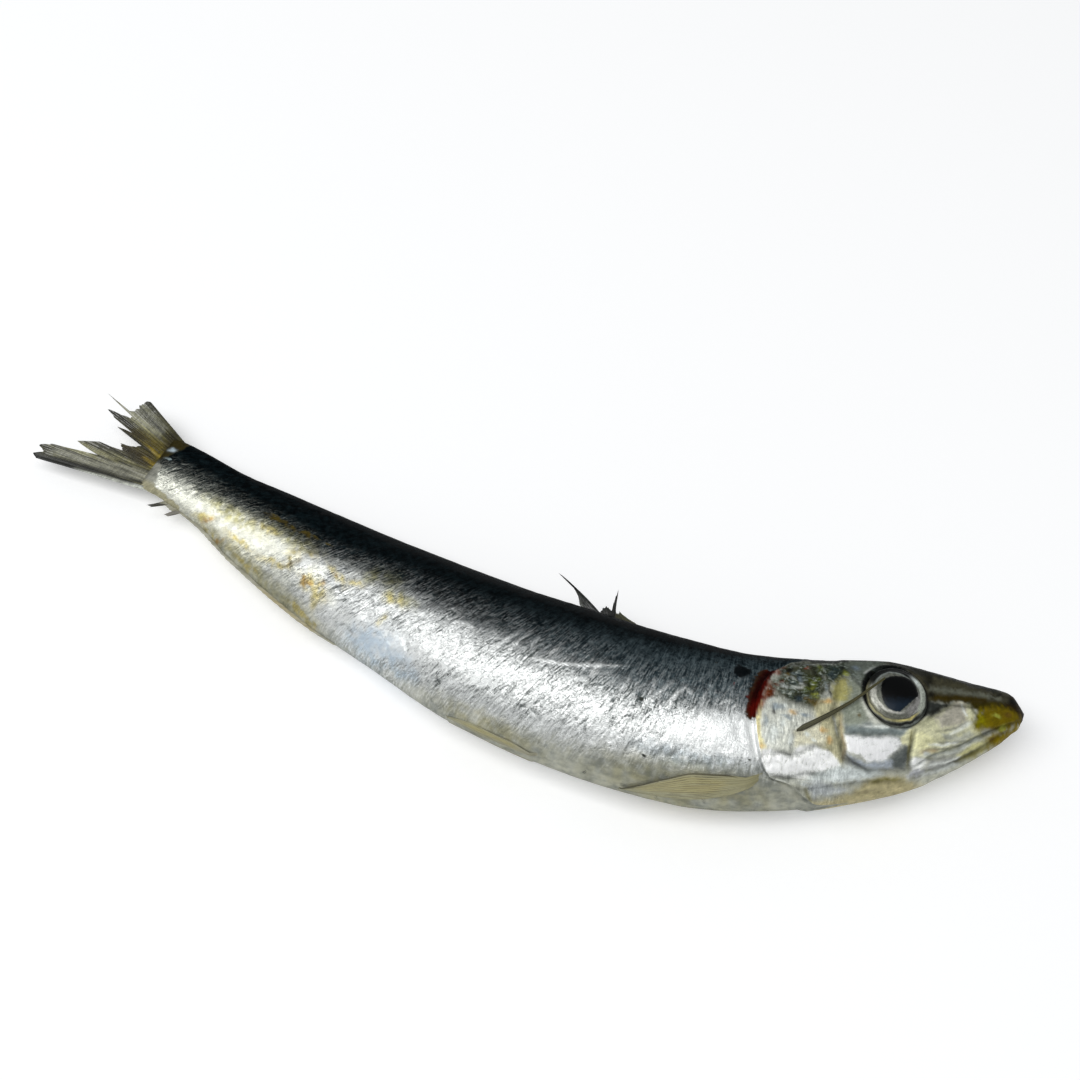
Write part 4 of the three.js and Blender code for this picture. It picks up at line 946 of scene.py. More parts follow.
def paintSkin(at, height, angle, flank, eyeAway, eyeCorner):
    edge = gillEdgeAt(angle)
    head = smoothStep(edge - at, *headEdge)
    trunk = 1 - head
    seeps = smoothStep(at - edge, *seepEnd)
    warp, drift, patchy, speckle = (
        noiseLayers(at, height, flank, layers) for layers in skinNoise.values())
    patchy = patchy + 0.5
    worn = head * mixed(wornLeast, 1, patchy)
    x, y = at + warp, height + drift
    colour = np.zeros((*at.shape, 3)) + screen(*bareTone)
    shine = np.full(at.shape, bareShine)
    cover = head.copy()

    def lay(mask, tone, polish):
        nonlocal colour, shine, cover
        under = cover * (1 - mask)
        share = mask / np.maximum(mask + under, 1e-6)
        colour = mixed(colour, screen(*tone), share[..., None])
        shine = mixed(shine, polish, share)
        cover = mask + under

    for name, (tone, polish, soft, outline) in headPatches.items():
        mask = patchMask(x, y, outline, soft * patchSoft[0] + patchSoft[1])
        mask = smoothStep(mask + patchSpeckle * speckle * mask * (1 - mask), 0.05, 0.95)
        lay(mask * (seeps if name in bleeding else head), tone, polish)
    messy = np.zeros(at.shape)
    for share, outline in messyParts:
        messy = np.maximum(messy, share * patchMask(x, y, outline, messySoft) * head)
    for tone, polish, lines in headStreaks.values():
        for width, line in lines:
            lay(lineMask(x, y, line, width) * worn, tone, polish)
    for tone, polish, spots in headMarks.values():
        for spot in spots:
            mask = spotMask(x + markWarp * warp, y + markWarp * drift, spot)
            lay(mask * worn, tone, polish)
    # painted shadow round the eye, widest towards the rear upper corner
    rim = eyeRimShadow["width"] + eyeRimShadow["wider"] * smoothStep(eyeCorner, -0.2, 0.9)
    offRim = smoothStep(eyeAway - eye["radius"] + rimWarp * warp, rim - 0.15, rim + 0.25)
    lay(1 - offRim, eyeRimShadow["colour"], eyeRimShadow["shine"])
    for tone, polish, soft, outline in tailPatches.values():
        lay(patchMask(x, y, outline, soft) * trunk, tone, polish)
    for tone, polish, least, most, spots in trunkMarks.values():
        for spot in spots:
            strength = trunk * mixed(least, most, patchy)
            lay(spotMask(x + warp, y + drift, spot) * strength, tone, polish)
    tint = np.ones((*at.shape, 3))
    for tone, spots in trunkTints.values():
        for station, level, long, short, tilt in spots:
            spot = (station, level, tintSpread * long, tintSpread * short, tilt)
            mask = spotMask(x + tintWarp * warp, y + tintWarp * drift, spot)
            mask = mask * np.clip(1.5 * patchy, 0, 1)
            tint = mixed(tint, screen(*tone), tintStrength * (mask * trunk)[..., None])
    wrinkleShadeAndScratch = np.zeros(at.shape)
    # painted shade of the wrinkles' creases, and their lighter scratches
    for shade, width, line in wrinkles:
        mark = lineMask(at + wrinkleWarp * warp, height + wrinkleWarp * drift, line, width, 8)
        wrinkleShadeAndScratch += shade * mark * (0.6 + 0.4 * patchy)
    # painted highlight on the silver, and painted shade where a share is under 0
    paintedLight = sum(share * spotMask(at, height, spot) for share, spot in paintedLightAndShade)
    return colour, shine, cover, tint, wrinkleShadeAndScratch, messy, paintedLight


# The line between the dark back and the bright flank, and between the flank and the belly
backEdgeAt = smoothCurve([
    (30, 0), (46, -0.4), (52, -1), (60, -1.5), (68, -0.7), (76, -0.9), (84, -1), (92, -0.8),
    (100, -0.4), (108, -0.8), (116, -1.1), (132, -1.1), (150, -0.7)])
backSpreadAt = smoothCurve([(30, 1.3), (84, 1.3), (100, 1), (116, 0.75), (150, 0.75)])
bellyEdgeAt = smoothCurve([
    (30, -10), (45, -9.6), (60, -11.5), (76, -12.4), (88, -12.4), (98, -11.9), (108, -10),
    (117, -8.6), (127, -7.4), (137, -5.8), (150, -5)])


def buildBody(material):
    angles, flanks = ringOfBody()
    edge = gillEdgeAt(angles)
    strength = coverShape(angles)
    opened = smoothStep(angles, *fish["slitOpens"])
    healStart, healEnd = fish["slitHeals"]
    stations, lifts = [], []
    for i in range(skin["headRows"] + 1):
        at = edge * (i / skin["headRows"]) ** fish["headCrowding"]
        stations.append(at)
        lifts.append(fish["coverRise"] * strength * smoothStep(at, edge - fish["coverLength"], edge))
    for back in skin["slitRows"]:
        stations.append(edge + back)
        healed = smoothStep(back, healStart, mixed(healEnd, fish["slitLength"], opened))
        fall = smoothStep(back, 0, fish["slitFall"])
        depth = fish["slitDepth"] * mixed(*fish["slitShares"], opened)
        lifts.append(strength * mixed(fish["coverRise"] * (1 - fall), -depth, fall * (1 - healed)))
    for i in range(1, skin["trunkRows"] + 1):
        stations.append(mixed(edge + fish["slitLength"], fish["length"], i / skin["trunkRows"]))
        lifts.append(np.zeros(len(angles)))
    runs = [0.0] * len(stations)
    for share in skin["endRows"]:
        stations.append(np.full(len(angles), fish["length"]))
        lifts.append(np.zeros(len(angles)))
        runs.append(share)
    at = np.array(stations)
    angle, flank = np.broadcast_to(angles, at.shape), np.broadcast_to(flanks, at.shape)
    run = np.array(runs)[:, None]
    height, _, out = sectionAt(at, angle)
    out = out * flank
    behind = at - gillEdgeAt(angle)
    head = smoothStep(-behind, 0, fish["coverFade"])
    slanted = at + slantAt(at) * height
    headLift, creaseShade = headRelief(at, height, head)
    trunkLift, folds = trunkRelief(at, height, out, slanted)
    settle = smoothStep(behind, *fish["reliefFrom"]) * smoothStep(at, *fish["reliefAfter"])
    lift = np.array(lifts) + headLift + trunkLift * settle * (1 - head)
    points = bodyPoint(at, angle, flank, lift)
    centre, tailward, _, outward = frameAt(fish["length"])
    thin = (points - centre) @ outward * (1 - skin["endThickness"]) * run**1.5
    points = points - outward * thin[..., None] + tailward * (skin["endLength"] * run)[..., None]
    rimCreaseShade, eyeAway, eyeCorner = np.zeros(at.shape), np.full(at.shape, 99.0), np.zeros(at.shape)
    for side in (1, -1):
        points, eyeCreaseShade, away, corner = socket(points, side, flank)
        rimCreaseShade = np.maximum(rimCreaseShade, eyeCreaseShade)
        eyeCorner = np.where(away < eyeAway, corner, eyeCorner)
        eyeAway = np.minimum(eyeAway, away)
    points[..., 2] = np.maximum(points[..., 2], 0)
    reached = at + run * skin["endLength"]
    colour, shine, cover, tint, wrinkleShadeAndScratch, messy, paintedLight = paintSkin(
        reached, height, angle, flank, eyeAway, eyeCorner)

    rows, columns = at.shape
    index = np.arange(rows * columns).reshape(rows, columns)
    faces = quadsOf(index, np.roll(index, -1, axis=1)).tolist()
    flat = points.reshape(-1, 3)
    snout = flat[:columns].mean(0) + frameAt(0)[1] * -0.4
    tail = flat[-columns:].mean(0)
    for column in range(columns):
        following = (column + 1) % columns
        faces.append([len(flat), following, column])
        faces.append([len(flat) + 1, index[-1, column], index[-1, following]])
    flat = np.vstack([flat, snout, tail])

    def full(values):  # the two closing points copy their neighbours
        return np.concatenate([np.ravel(values), [values[0, 0], values[-1, 0]]])

    def along(first, second):  # coordinates for a texture of the skin
        return np.stack([full(first), full(second), full(out)], -1)

    makeMesh(
        "skin", flat, faces, material, "body",
        floats=dict(
            shine=full(shine), stain=full(cover), creaseShade=full(np.maximum(creaseShade, rimCreaseShade)),
            overBack=full((height - backEdgeAt(at)) / backSpreadAt(at)), folds=full(folds),
            overBelly=full(height - bellyEdgeAt(at)), wrinkleShadeAndScratch=full(wrinkleShadeAndScratch),
            station=full(at), height=full(height), messy=full(messy), paintedLight=full(paintedLight)),
        vectors=dict(
            place=along(reached, height), slant=along(slanted + reached - at, height),
            sweep=along(0.89 * reached - 0.45 * height, 0.45 * reached + 0.89 * height)),
        colours=dict(pigment=channels(colour, full), tint=channels(tint, full)))


# Textures of the skin: coordinates, bumps a millimetre on each axis, detail, roughness, bend
skinTextures = dict(
    fine=("place", (2.3, 2.7, 2.3), 3, 0.7),
    hairs=("slant", (2.8, 0.42, 0.5), 3, 0.6, 0.9),
    strokes=("slant", (0.9, 0.25, 0.3), 2, 0.5, 0.6),
    runs=("sweep", (0.5, 2.4, 2.3), 3, 0.6, 0.8),
    veins=("place", (1.0, 1.5, 1.4), 1.5, 0.5, 1.8),
    foil=("slant", (1.5, 0.5, 0.6), 2, 0.55, 1.1),
    cracks=("slant", (1.1, 0.6, 0.6), 2, 0.5, 1.8),
    glints=("slant", (1.5, 0.5, 0.7), 2, 0.5, 1.4),
    clouds=("place", (0.22, 0.3, 0.3), 2, 0.5),
    mottle=("place", (0.9, 1.1, 1.1), 2, 0.55),
    crinkle=("place", (1.6, 2.6, 2), 3, 0.65, 0.8),
    flecks=("place", (0.6, 0.95, 0.9), 3, 0.6, 1.6),
)
foilStep = (0.28, 0.16, 0)  # between the two readings of the foil that give its slope
skinNumbers = (
    "overBack", "overBelly", "station", "height", "stain", "creaseShade", "folds", "shine", "wrinkleShadeAndScratch",
    "messy", "paintedLight")
# Darkest and brightest tone of each part of the skin: on a screen, then in linear light
screenShades = dict(
    silver=((84, 90, 88), (250, 252, 250)),
    belly=((138, 142, 136), (186, 187, 174)),
)
linearShades = dict(
    ink=((0.0008, 0.0028, 0.0038), (0.012, 0.023, 0.027)),
    slate=((0.014, 0.027, 0.034), (0.135, 0.175, 0.188)),
    grain=((0.35, 0.36, 0.36), (1.75, 1.74, 1.72)),
    crinkled=((0.9, 0.9, 0.91), (1.12, 1.12, 1.11)),
)
warmTint = (1.1, 1.07, 0.86)
# darkens the colour as painted shade in creases
creaseShadeTint = (0.16, 0.17, 0.16)
edgeTint = (0.06, 0.06, 0.06, 1.0)  # how bright the skin shines where it is seen edge on
fleckBase = (8, 11, 9)
fleckSteps = [
    (0.36, 0.5, (56, 62, 40)), (0.48, 0.56, (98, 108, 104)), (0.57, 0.68, (178, 184, 174))]
# Where each look takes over, from none to full: stations or millimetres over an edge, and
# the brightness of textures
skinRanges = dict(
    lengthwise=(100, 128), warm=(104, 128), shoulder=(44, 94), shoulderFall=(6.4, 12.0),
    face=(27.5, 30), aboveBelly=(0.5, 4.5), belly=(-2.1, 1.7), back=(-3.0, 1.7), pureBack=(1.0, 5.0),
    paintedLightAndShade=(0.1, 0.9), calmClouds=(0.5, 0.62), dented=(0.32, 0.5), silver=(0.0, 1.0),
    washed=(0.34, 0.64), inked=(0.4, 0.68), slate=(0.3, 0.7), hairs=(0.5, 0.84),
    muddled=(0.36, 0.6), stained=(0.3, 0.7),
)


def skinMaterial():
    paint = Paint("wetSkin")
    overBack, overBelly, station, height, stain, creaseShade, folds, shine, wrinkleShadeAndScratch, messy, paintedLight = (
        paint.number(name) for name in skinNumbers)
    pigment, tint = paint.colour("pigment"), paint.colour("tint")
    fine, hairs, strokes, runs, veins, foil, cracks, glints, clouds, mottle, crinkle, flecks = (
        paint.texture(*settings) for settings in skinTextures.values())
    ridged = (foil - paint.texture(*skinTextures["foil"], foilStep)) * 3.2

    def within(name, value):  # 0 to 1 over the range of that name
        return paint.level(value, *skinRanges[name])

    # Silver of the flank: crumpled like foil, with lines up the flank, then along the tail
    lengthwise = within("lengthwise", station + (clouds - 0.5) * 30)
    fibres = hairs * (1 - lengthwise) + runs * lengthwise
    dents = paint.line(cracks, 0.5, 0.055) * within("dented", clouds + (strokes - 0.5))
    glint = paint.line(glints, 0.53, 0.04) * (1 - lengthwise)
    creases = paint.line(veins, 0.5, 0.04)
    bright = swings((fibres, 1.2), (fine, 0.2), (strokes, 0.9), (clouds, 0.5)) + ridged * 0.5
    # worn adds painted glints and the painted shade of the folds and of the wrinkles' creases to the
    # dents, vein lines and scratches of the silver
    worn = glint * 0.24 - dents * 0.24 - creases * 0.34 - folds * 0.25 + wrinkleShadeAndScratch * 1.1
    # calm: a smoother silver under the painted highlight, over the belly and under quiet clouds
    calm = within("paintedLightAndShade", paintedLight) + (1 - within("aboveBelly", overBelly)) * 0.75
    calm = (calm + within("calmClouds", clouds + (strokes - 0.5) * 0.4) * 0.6).held()
    bright = bright * (1 - calm * 0.6) + worn * (1 - calm * 0.4)
    # the painted highlight and shade lift or lower the silver here
    silver = within("silver", bright + paintedLight * 0.5 + 0.65)
    flank = paint.shade(silver, screenShades["silver"])
    warm = within("warm", station + (clouds - 0.5) * 40) * 0.5
    flank = paint.blend(warm, flank, paint.times(flank, warmTint))
    flank = paint.times(flank, tint)

    # Smooth skin of the belly
    washed = within("washed", mottle * 0.4 + clouds * 0.4 + strokes * 0.2)
    bellyTone = paint.shade(washed, screenShades["belly"])
    bellyTone = paint.times(bellyTone, paint.blend(crinkle, *linearShades["crinkled"]))
    bellyTone = paint.times(bellyTone, tint)
    ragged = overBelly + swings((crinkle, 1.6), (fibres, 3)) + ridged * 0.4
    belly = 1 - within("belly", ragged)
    lower = paint.blend(belly, flank, bellyTone)

    # Dark back, with the slate of the shoulder and hair-fine streaks where it ends
    inked = within("inked", mottle * 0.4 + fibres * 0.4 + fine * 0.2 + glint * 0.08)
    ink = paint.blend(inked, *linearShades["ink"])
    slateShare = within("slate", mottle * 0.5 + fine * 0.5 + (fibres - 0.5) * 0.7)
    slate = paint.blend(slateShare, *linearShades["slate"])
    shoulder = 1 - within("shoulderFall", height + station * 0.055 + (clouds - 0.5) * 2)
    shoulder = shoulder * (1 - within("shoulder", station + (clouds - 0.5) * 16))
    back = paint.blend(shoulder, ink, slate)
    reach = overBack + (strokes - 0.5) * 3.4 + (fibres - 0.5) * (4.4 + lengthwise * 4)
    reach = reach - wrinkleShadeAndScratch * 3 + (fine - 0.5) * 1.2
    hairy = within("hairs", fine * 0.5 + fibres * 0.7 + ridged * 0.12 + glint * 0.1) * 0.26
    dark = within("back", reach + dents * 0.4)
    dark = dark * (1 - hairy * (1 - within("pureBack", overBack)))
    trunk = paint.blend(dark, lower, back)

    # Laid colours of the head and the stains, broken up by the same grain and by painted glints
    flecked = screen(*fleckBase)
    for low, high, tone in fleckSteps:
        flecked = paint.blend(paint.level(flecks, low, high), flecked, screen(*tone))
    muddled = messy * within("muddled", mottle + (fine - 0.5) * 0.4)
    laid = paint.blend(muddled, pigment, flecked)
    facing = 1 - within("face", station)
    grain = (runs - 0.5) * facing * 0.6 + (hairs - 0.5) * (1 - facing) * 0.24
    broken = 0.55 + (crinkle - 0.5) * (0.3 - facing * 0.2) + (mottle - 0.5) * 0.8 + grain
    broken = broken + ridged * (0.2 - facing * 0.14) - creases * 0.06
    broken = broken + (glint * 0.25 + (strokes - 0.5) * 0.3) * (1 - facing)
    laid = paint.times(laid, paint.blend(broken.held(), *linearShades["grain"]))
    cover = within("stained", stain + swings((crinkle, 0.5), (fine, 0.4)))
    colour = paint.blend(cover, trunk, laid)
    # Painted shade in the grooves of the head and in the crease round each eye
    colour = paint.blend((creaseShade * 0.7).held(), colour, paint.times(colour, creaseShadeTint))

    metal = 0.9 - belly * 0.4 * (1 - dark)
    metal = metal * (1 - cover) + shine * cover
    roughness = 0.44 + swings((fine, 0.14), (mottle, 0.12)) + cover * 0.05
    relief = fine * 0.2 + crinkle * 0.35 + fibres * 0.6 + foil * 0.9 + worn
    relief = relief * (1 - cover * (0.4 + facing * 0.35)) * (1 - calm * 0.4)
    return paint.finish(
        Base_Color=colour, Metallic=metal.held(), Roughness=roughness.held(), Coat_Weight=0.04,
        Coat_Roughness=0.1, Specular_IOR_Level=0.14, Specular_Tint=edgeTint,
        Normal=paint.bump(relief, 0.0001, 0.8))


# Textures of the eye and the fins, like those of the skin
eyeTextures = dict(
    swirl=("place", (1.6, 1.6, 0), 3, 0.6, 1.2),
    rays=("polar", (0.9, 9, 1), 2, 0.6),
)
finTextures = dict(
    stripe=("place", (0.25, 4, 1), 3, 0.65),
    blot=("place", (0.6, 1.2, 1), 3, 0.55),
    joints=("place", (2.6, 1.1, 1), 2, 0.6),
)
irisGrain = ((0.5, 0.5, 0.5), (1.5, 1.5, 1.48))
# the pupil's black, and the blue-grey of the painted reflection in its lower part
pupilTones = ((0.0005, 0.0006, 0.0007), (0.008, 0.016, 0.027))


def eyeMaterial():
    paint = Paint("wetEye")
    lens, low, shell = (paint.number(name) for name in ("lens", "low", "shell"))
    swirl, rays = (paint.texture(*settings) for settings in eyeTextures.values())
    grain = 0.5 + swings((swirl, 1.6), (rays, 1.4))
    iris = paint.times(paint.colour("pigment"), paint.blend(grain.held(), *irisGrain))
    # painted reflection: blue-grey grows towards the bottom of the pupil
    pupilReflection = paint.blend(paint.level(low + (swirl - 0.5) * 1.4, 0.0, 1.8), *pupilTones)
    pupil = 1 - paint.level(lens + (swirl - 0.5) * 0.1, 0.96, 1.05)
    return paint.finish(
        Base_Color=paint.blend(pupil, iris, pupilReflection), Metallic=(1 - pupil) * (1 - shell) * 0.35,
        Roughness=0.3 + swirl * 0.15, Coat_Weight=0.04, Coat_Roughness=0.06,
        Specular_IOR_Level=0.1, Normal=paint.bump(swirl * (1 - pupil), 0.00012, 0.6))


def finMaterial(name, clear, contrast):
    paint = Paint(name)
    along, ridge, glass = (paint.number(name) for name in ("along", "ridge", "glass"))
    stripe, blot, joints = (paint.texture(*settings) for settings in finTextures.values())
    grain = stripe * 0.6 + joints * 0.4
    greys = [(1 + contrast * side,) * 3 for side in (-1, 0.9)]
    colour = paint.times(paint.colour("pigment"), paint.blend(paint.level(grain, 0.3, 0.7), *greys))
    web = (1 - paint.level(ridge, 0.2, 0.7)) * paint.level(blot + (grain - 0.5) * 0.5, 0.3, 0.6)
    alpha = 1 - clear * web * glass * paint.level(along, 0.1, 0.4)
    return paint.finish(
        Base_Color=colour, Roughness=0.42 + (blot - 0.5) * 0.2, Alpha=alpha.held(),
        Coat_Weight=0.12, Coat_Roughness=0.15, Specular_IOR_Level=0.3,
        Normal=paint.bump(stripe + ridge * 0.5 + joints * 0.3, 0.00008, 0.7))


# Noise of a fin, after the seed of the fin: bumps a unit across, size along
finNoise = (
    ("phase", 0.8, 9), ("phase", 2.1, 5), ("across", 1.3, 2.5), ("across", 1.7, 3),
    ("across", 2.3, 2), ("phase", 0.55, 16))


def paintFin(fin, along, across, ridge, phase, seed):  # colours of a fin, and how clear its web is
    along, across, ridge, phase = np.broadcast_arrays(along, across, ridge, phase)
    places = dict(across=across, phase=phase)
    uneven, lined, worn, sway, fray, bundle = (
        softNoise(places[kind] * bumps, along / size, seed=seed + i)
        for i, (kind, bumps, size) in enumerate(finNoise))
    lined = 0.5 + 0.9 * lined
    share = smoothStep(along + worn, 0, fin["fade"])
    tone = mixed(screen(*fin["rootTone"]), screen(*fin["tipTone"]), share[..., None])
    tone = tone * mixed(1 - fin["lined"], 1 + fin["lined"], np.clip(lined, 0, 1))[..., None]
    tone = tone * np.exp(fin["bundled"] * bundle)[..., None]
    kept = mixed(0.4, 1, np.clip(0.5 + 0.9 * uneven, 0, 1))
    rays = np.clip(ridge**0.55 * kept, 0, 1) * fin["rayStrength"]
    tone = mixed(tone, screen(*fin["rayTone"]), rays[..., None])
    glass = np.ones(along.shape)
    x, y = across + fin["wobble"] * sway, along + 0.8 * fray
    for stain, soft, strength, streaky, clear, outline in fin["stains"].values():
        mask = patchMask(x, y, outline, soft) * strength
        mask = mask * mixed(1, np.clip(0.4 + 1.2 * lined, 0, 1), streaky)
        tone = mixed(tone, screen(*stain), mask[..., None])
        glass = mixed(glass, clear, mask)
    return tone, glass


def buildEye(name, flank, material, node):
    place, axis, along, backward = eyeFrame(flank)
    away = np.linspace(0, 1, eye["rings"] + 1)[1:, None] * eye["radius"]
    turn = np.linspace(0, 2 * math.pi, eye["steps"], endpoint=False)[None, :]
    u, v = away * np.cos(turn), away * np.sin(turn)
    lens = pupilShare(u, v)
    rise, ringAt, tight = eye["ring"]
    level = eyeLevel(away / eye["radius"]) + eye["lensRise"] * (1 - smoothStep(lens, 0.85, 1.1))
    level += rise * np.cos((away - ringAt) * tight) * smoothStep(lens, 1, 1.2)
    level -= eye["edgeDrop"] * smoothStep(away, eye["radius"] - 0.3, eye["radius"])
    points = place + along * u[..., None] + backward * v[..., None] + axis * level[..., None]
    crown = place + axis * (eyeLevel(0.0) + eye["lensRise"])
    index = np.arange(u.size).reshape(u.shape)
    after = np.roll(index, -1, axis=1)
    quads = np.stack([index[:-1], index[1:], after[1:], after[:-1]], -1).reshape(-1, 4)
    caps = [[u.size, i, j] for i, j in zip(index[0], after[0])]
    faces = quads.tolist() + caps
    if flank > 0:
        faces = [face[::-1] for face in faces]

    def full(values):  # the crown closes the eye
        return np.append(np.ravel(np.broadcast_to(values, u.shape)), 0)

    makeMesh(
        name, np.vstack([points.reshape(-1, 3), crown]), faces, material, node,
        floats=dict(
            lens=full(lens), low=full(-v), shell=full(smoothStep(np.hypot(u, v), *eye["shellFrom"]))),
        vectors=dict(
            place=np.stack([full(u), full(v), full(0)], -1),
            polar=np.stack([full(turn * 3), full(away), full(0)], -1)),
        colours=dict(pigment=channels(paintEye(u, v), full)))


def pupilShare(u, v):  # 1 at the edge of the pupil, which is cut straight low in front
    x, y = u - eye["pupilMiddle"][0], v - eye["pupilMiddle"][1]
    cutX, cutY, cut = eye["pupilCut"]
    power = eye["pupilSquareness"]
    wide, high = (np.abs(value) / reach for value, reach in zip((x, y), eye["pupilReach"]))
    across = np.maximum(0, (cutX * x + cutY * y) / cut)
    return np.maximum((wide**power + high**power) ** (1 / power), across)


def paintEye(u, v):
    x, y = u - eyeRings[0], v - eyeRings[1]
    ring = np.hypot(x, y) + 0.1 * softNoise(u * 1.3, v * 1.3, seed=27)
    turn = np.degrees(np.arctan2(y, x))
    colour = np.zeros((*u.shape, 3)) + screen(*eyeBase)
    for tone, share, radius, width, middle, span in eyeArcs.values():
        mask = 1 - smoothStep(np.abs(ring - radius) - width, -0.08, 0.14)
        off = np.abs((turn - middle + 180) % 360 - 180)
        mask = mask * (1 - smoothStep(off, span - 16, span + 16)) * share
        colour = mixed(colour, screen(*tone), mask[..., None])
    return colour


def finGrid(fin):  # shares of the way along the rays and across them
    return np.linspace(0, 1, fin["rows"])[:, None], np.linspace(0, 1, fin["columns"])[None, :]


def raysAt(phase, sharpness=3):  # 1 on each ray and 0 between two
    return np.abs(np.cos(math.pi * phase)) ** sharpness


def bladeOf(fin, t, ridge, flesh=0.0):  # thickness of a fin, with flesh added at its root
    web, ray, tip, thinFrom = fin["blade"]
    thick = mixed(web, mixed(ray, tip, t), ridge) + flesh
    return thick * (1 - 0.5 * smoothStep(t, thinFrom, 1))


def buildFin(name, middle, normal, thick, material, node, floats, place, painted):
    rows, columns = thick.shape
    half = np.broadcast_to(normal, middle.shape) * (thick / 2)[..., None]
    points = np.concatenate([(middle + half).reshape(-1, 3), (middle - half).reshape(-1, 3)])
    index = np.arange(rows * columns).reshape(rows, columns)
    top = quadsOf(index[:, :-1], index[:, 1:])
    edge = np.concatenate([index[0, :-1], index[:-1, -1], index[-1, :0:-1], index[:0:-1, 0]])
    following = np.roll(edge, -1)
    sides = np.stack([following, edge, edge + index.size, following + index.size], -1)
    faces = np.concatenate([top, top[:, ::-1] + index.size, sides]).tolist()
    tone, glass = painted

    def double(values):  # the same values on both faces
        return np.tile(np.ravel(np.broadcast_to(values, thick.shape)), 2)

    makeMesh(
        name, points, faces, material, node,
        floats={key: double(values) for key, values in dict(floats, glass=glass).items()},
        vectors=dict(place=np.stack([double(part) for part in place], -1)),
        colours=dict(pigment=channels(tone, double)))


# Fins. A blade is the thickness of the web, of a ray and of its tip, and the share of the
# length from which the tip thins. Stains have a colour, softness, strength, how far the lines
# of the fin break them, how clear they leave the web, and an outline
caudal = dict(
    # share across from the belly edge, length of the ray there
    rays=[
        (0, 22.4), (0.012, 22.8), (0.03, 23.1), (0.06, 21.4), (0.085, 21.8), (0.105, 23),
        (0.13, 21.8), (0.155, 21), (0.175, 18.6), (0.2, 15), (0.222, 12.4), (0.24, 15),
        (0.267, 17.6), (0.297, 16), (0.35, 13.7), (0.362, 11.4), (0.385, 9.2), (0.415, 9.9),
        (0.443, 10.4), (0.476, 8.4), (0.55, 6.9), (0.562, 10.4), (0.573, 13.2), (0.6, 11.2),
        (0.612, 10.1), (0.628, 15), (0.64, 15.4), (0.652, 17.2), (0.69, 14.2), (0.73, 12.3),
        (0.752, 12.2), (0.764, 19.4), (0.779, 13.6), (0.81, 12.8), (0.885, 12.7), (0.94, 12.4),
        (0.98, 12.4), (1, 11.7),
    ],
    low=-5.2, high=5.4, rootThick=2.2,
    spread=(-10, 21.5),
    count=24,
    rows=56, columns=340,
    inside=1.6,  # how far the root runs into the flesh
    forks=(4, 9),  # lengths between which each ray splits in two
    fleshEnd=(-1, 3.5),
    placeSway=0.45,  # of the rays, in rays
    lengthSway=0.4,
    tornDepth=0.5,
    tornSharpness=10,
    usualLength=14,
    thinnestRoot=0.05,
    wave=(0.25, 21, 22),  # rise, turns across in radians, length over which it grows
    ripple=(0.16, 5, 8),  # rise, size along, length over which it grows
    seed=41,
    blade=(0.14, 0.4, 0.24, 0.9),
    rootTone=(98, 92, 46), tipTone=(122, 120, 92), rayTone=(18, 19, 11),
    rayStrength=1, fade=12, lined=0.7, bundled=0.8, wobble=0.12,
    # height over the belly edge at the root and length along, both in millimetres
    stains=dict(
        pale=((206, 206, 192), 0.4, 0.32, 0.9, 1, [
            (1.1, 1), (3.4, 1), (2.6, 7), (1.7, 12), (1.5, 20), (0.8, 20), (0.8, 10)]),
        strip=((206, 209, 198), 0.3, 0.85, 0.2, 0.9, [
            (-1, -1), (0.5, -1), (0.35, 8), (0.1, 15), (-1, 17)]),
        underEdge=((12, 13, 9), 0.2, 0.95, 0.1, 0.2, [
            (0.6, 4), (0.8, 4), (0.72, 12), (0.6, 18), (0.4, 24), (-1, 24), (-1, 18), (0.1, 14),
            (0.4, 8)]),
        olive=((86, 76, 18), 0.7, 0.95, 0.5, 0.2, [
            (3.8, -3), (9, -3), (8.4, 3), (7.7, 6.5), (7, 10), (6.1, 10), (5.6, 7), (4.9, 8),
            (4, 5)]),
        fringe=((48, 40, 16), 0.5, 0.9, 0.6, 0.2, [
            (3.4, 3), (4.7, 1.5), (5.4, 4), (5.1, 8.6), (4.5, 11), (4, 9.6), (3.6, 7)]),
        blade=((30, 28, 12), 0.3, 0.92, 0.3, 0.2, [
            (5.5, 3), (5.9, 4), (6.3, 8), (6.4, 11.5), (6.1, 14), (5.7, 14), (5.6, 9)]),
        bladeTop=((48, 40, 12), 0.3, 0.8, 0.6, 0.2, [
            (6.5, 7), (7, 6.5), (7.2, 8.4), (6.9, 10.4), (6.4, 12), (6.2, 11)]),
        goldLine=((146, 126, 38), 0.25, 0.8, 0.7, 0.2, [
            (5.6, 0), (6, 0), (6.3, 3), (6.5, 6), (6.2, 6), (5.8, 3)]),
        lowGold=((144, 124, 42), 0.25, 0.8, 0.7, 0.2, [
            (3.9, -1), (4.5, -1), (4.7, 2), (4.9, 5), (4.5, 5), (4.1, 2)]),
        rootDark=((44, 39, 14), 0.7, 0.9, 0.6, 0.2, [
            (6.8, -3), (10.6, -3), (10.6, 3.4), (9.4, 4), (8, 3.6), (7, 2)]),
        topEdge=((38, 38, 26), 0.15, 0.6, 0.5, 0.2, [
            (10.3, -2), (11.6, -2), (11.6, 13), (10.35, 13)]),
        block=((172, 173, 156), 0.5, 0.35, 0.6, 1, [(8.2, 5), (10, 5), (10.2, 14), (7.8, 14)]),
    ),
)


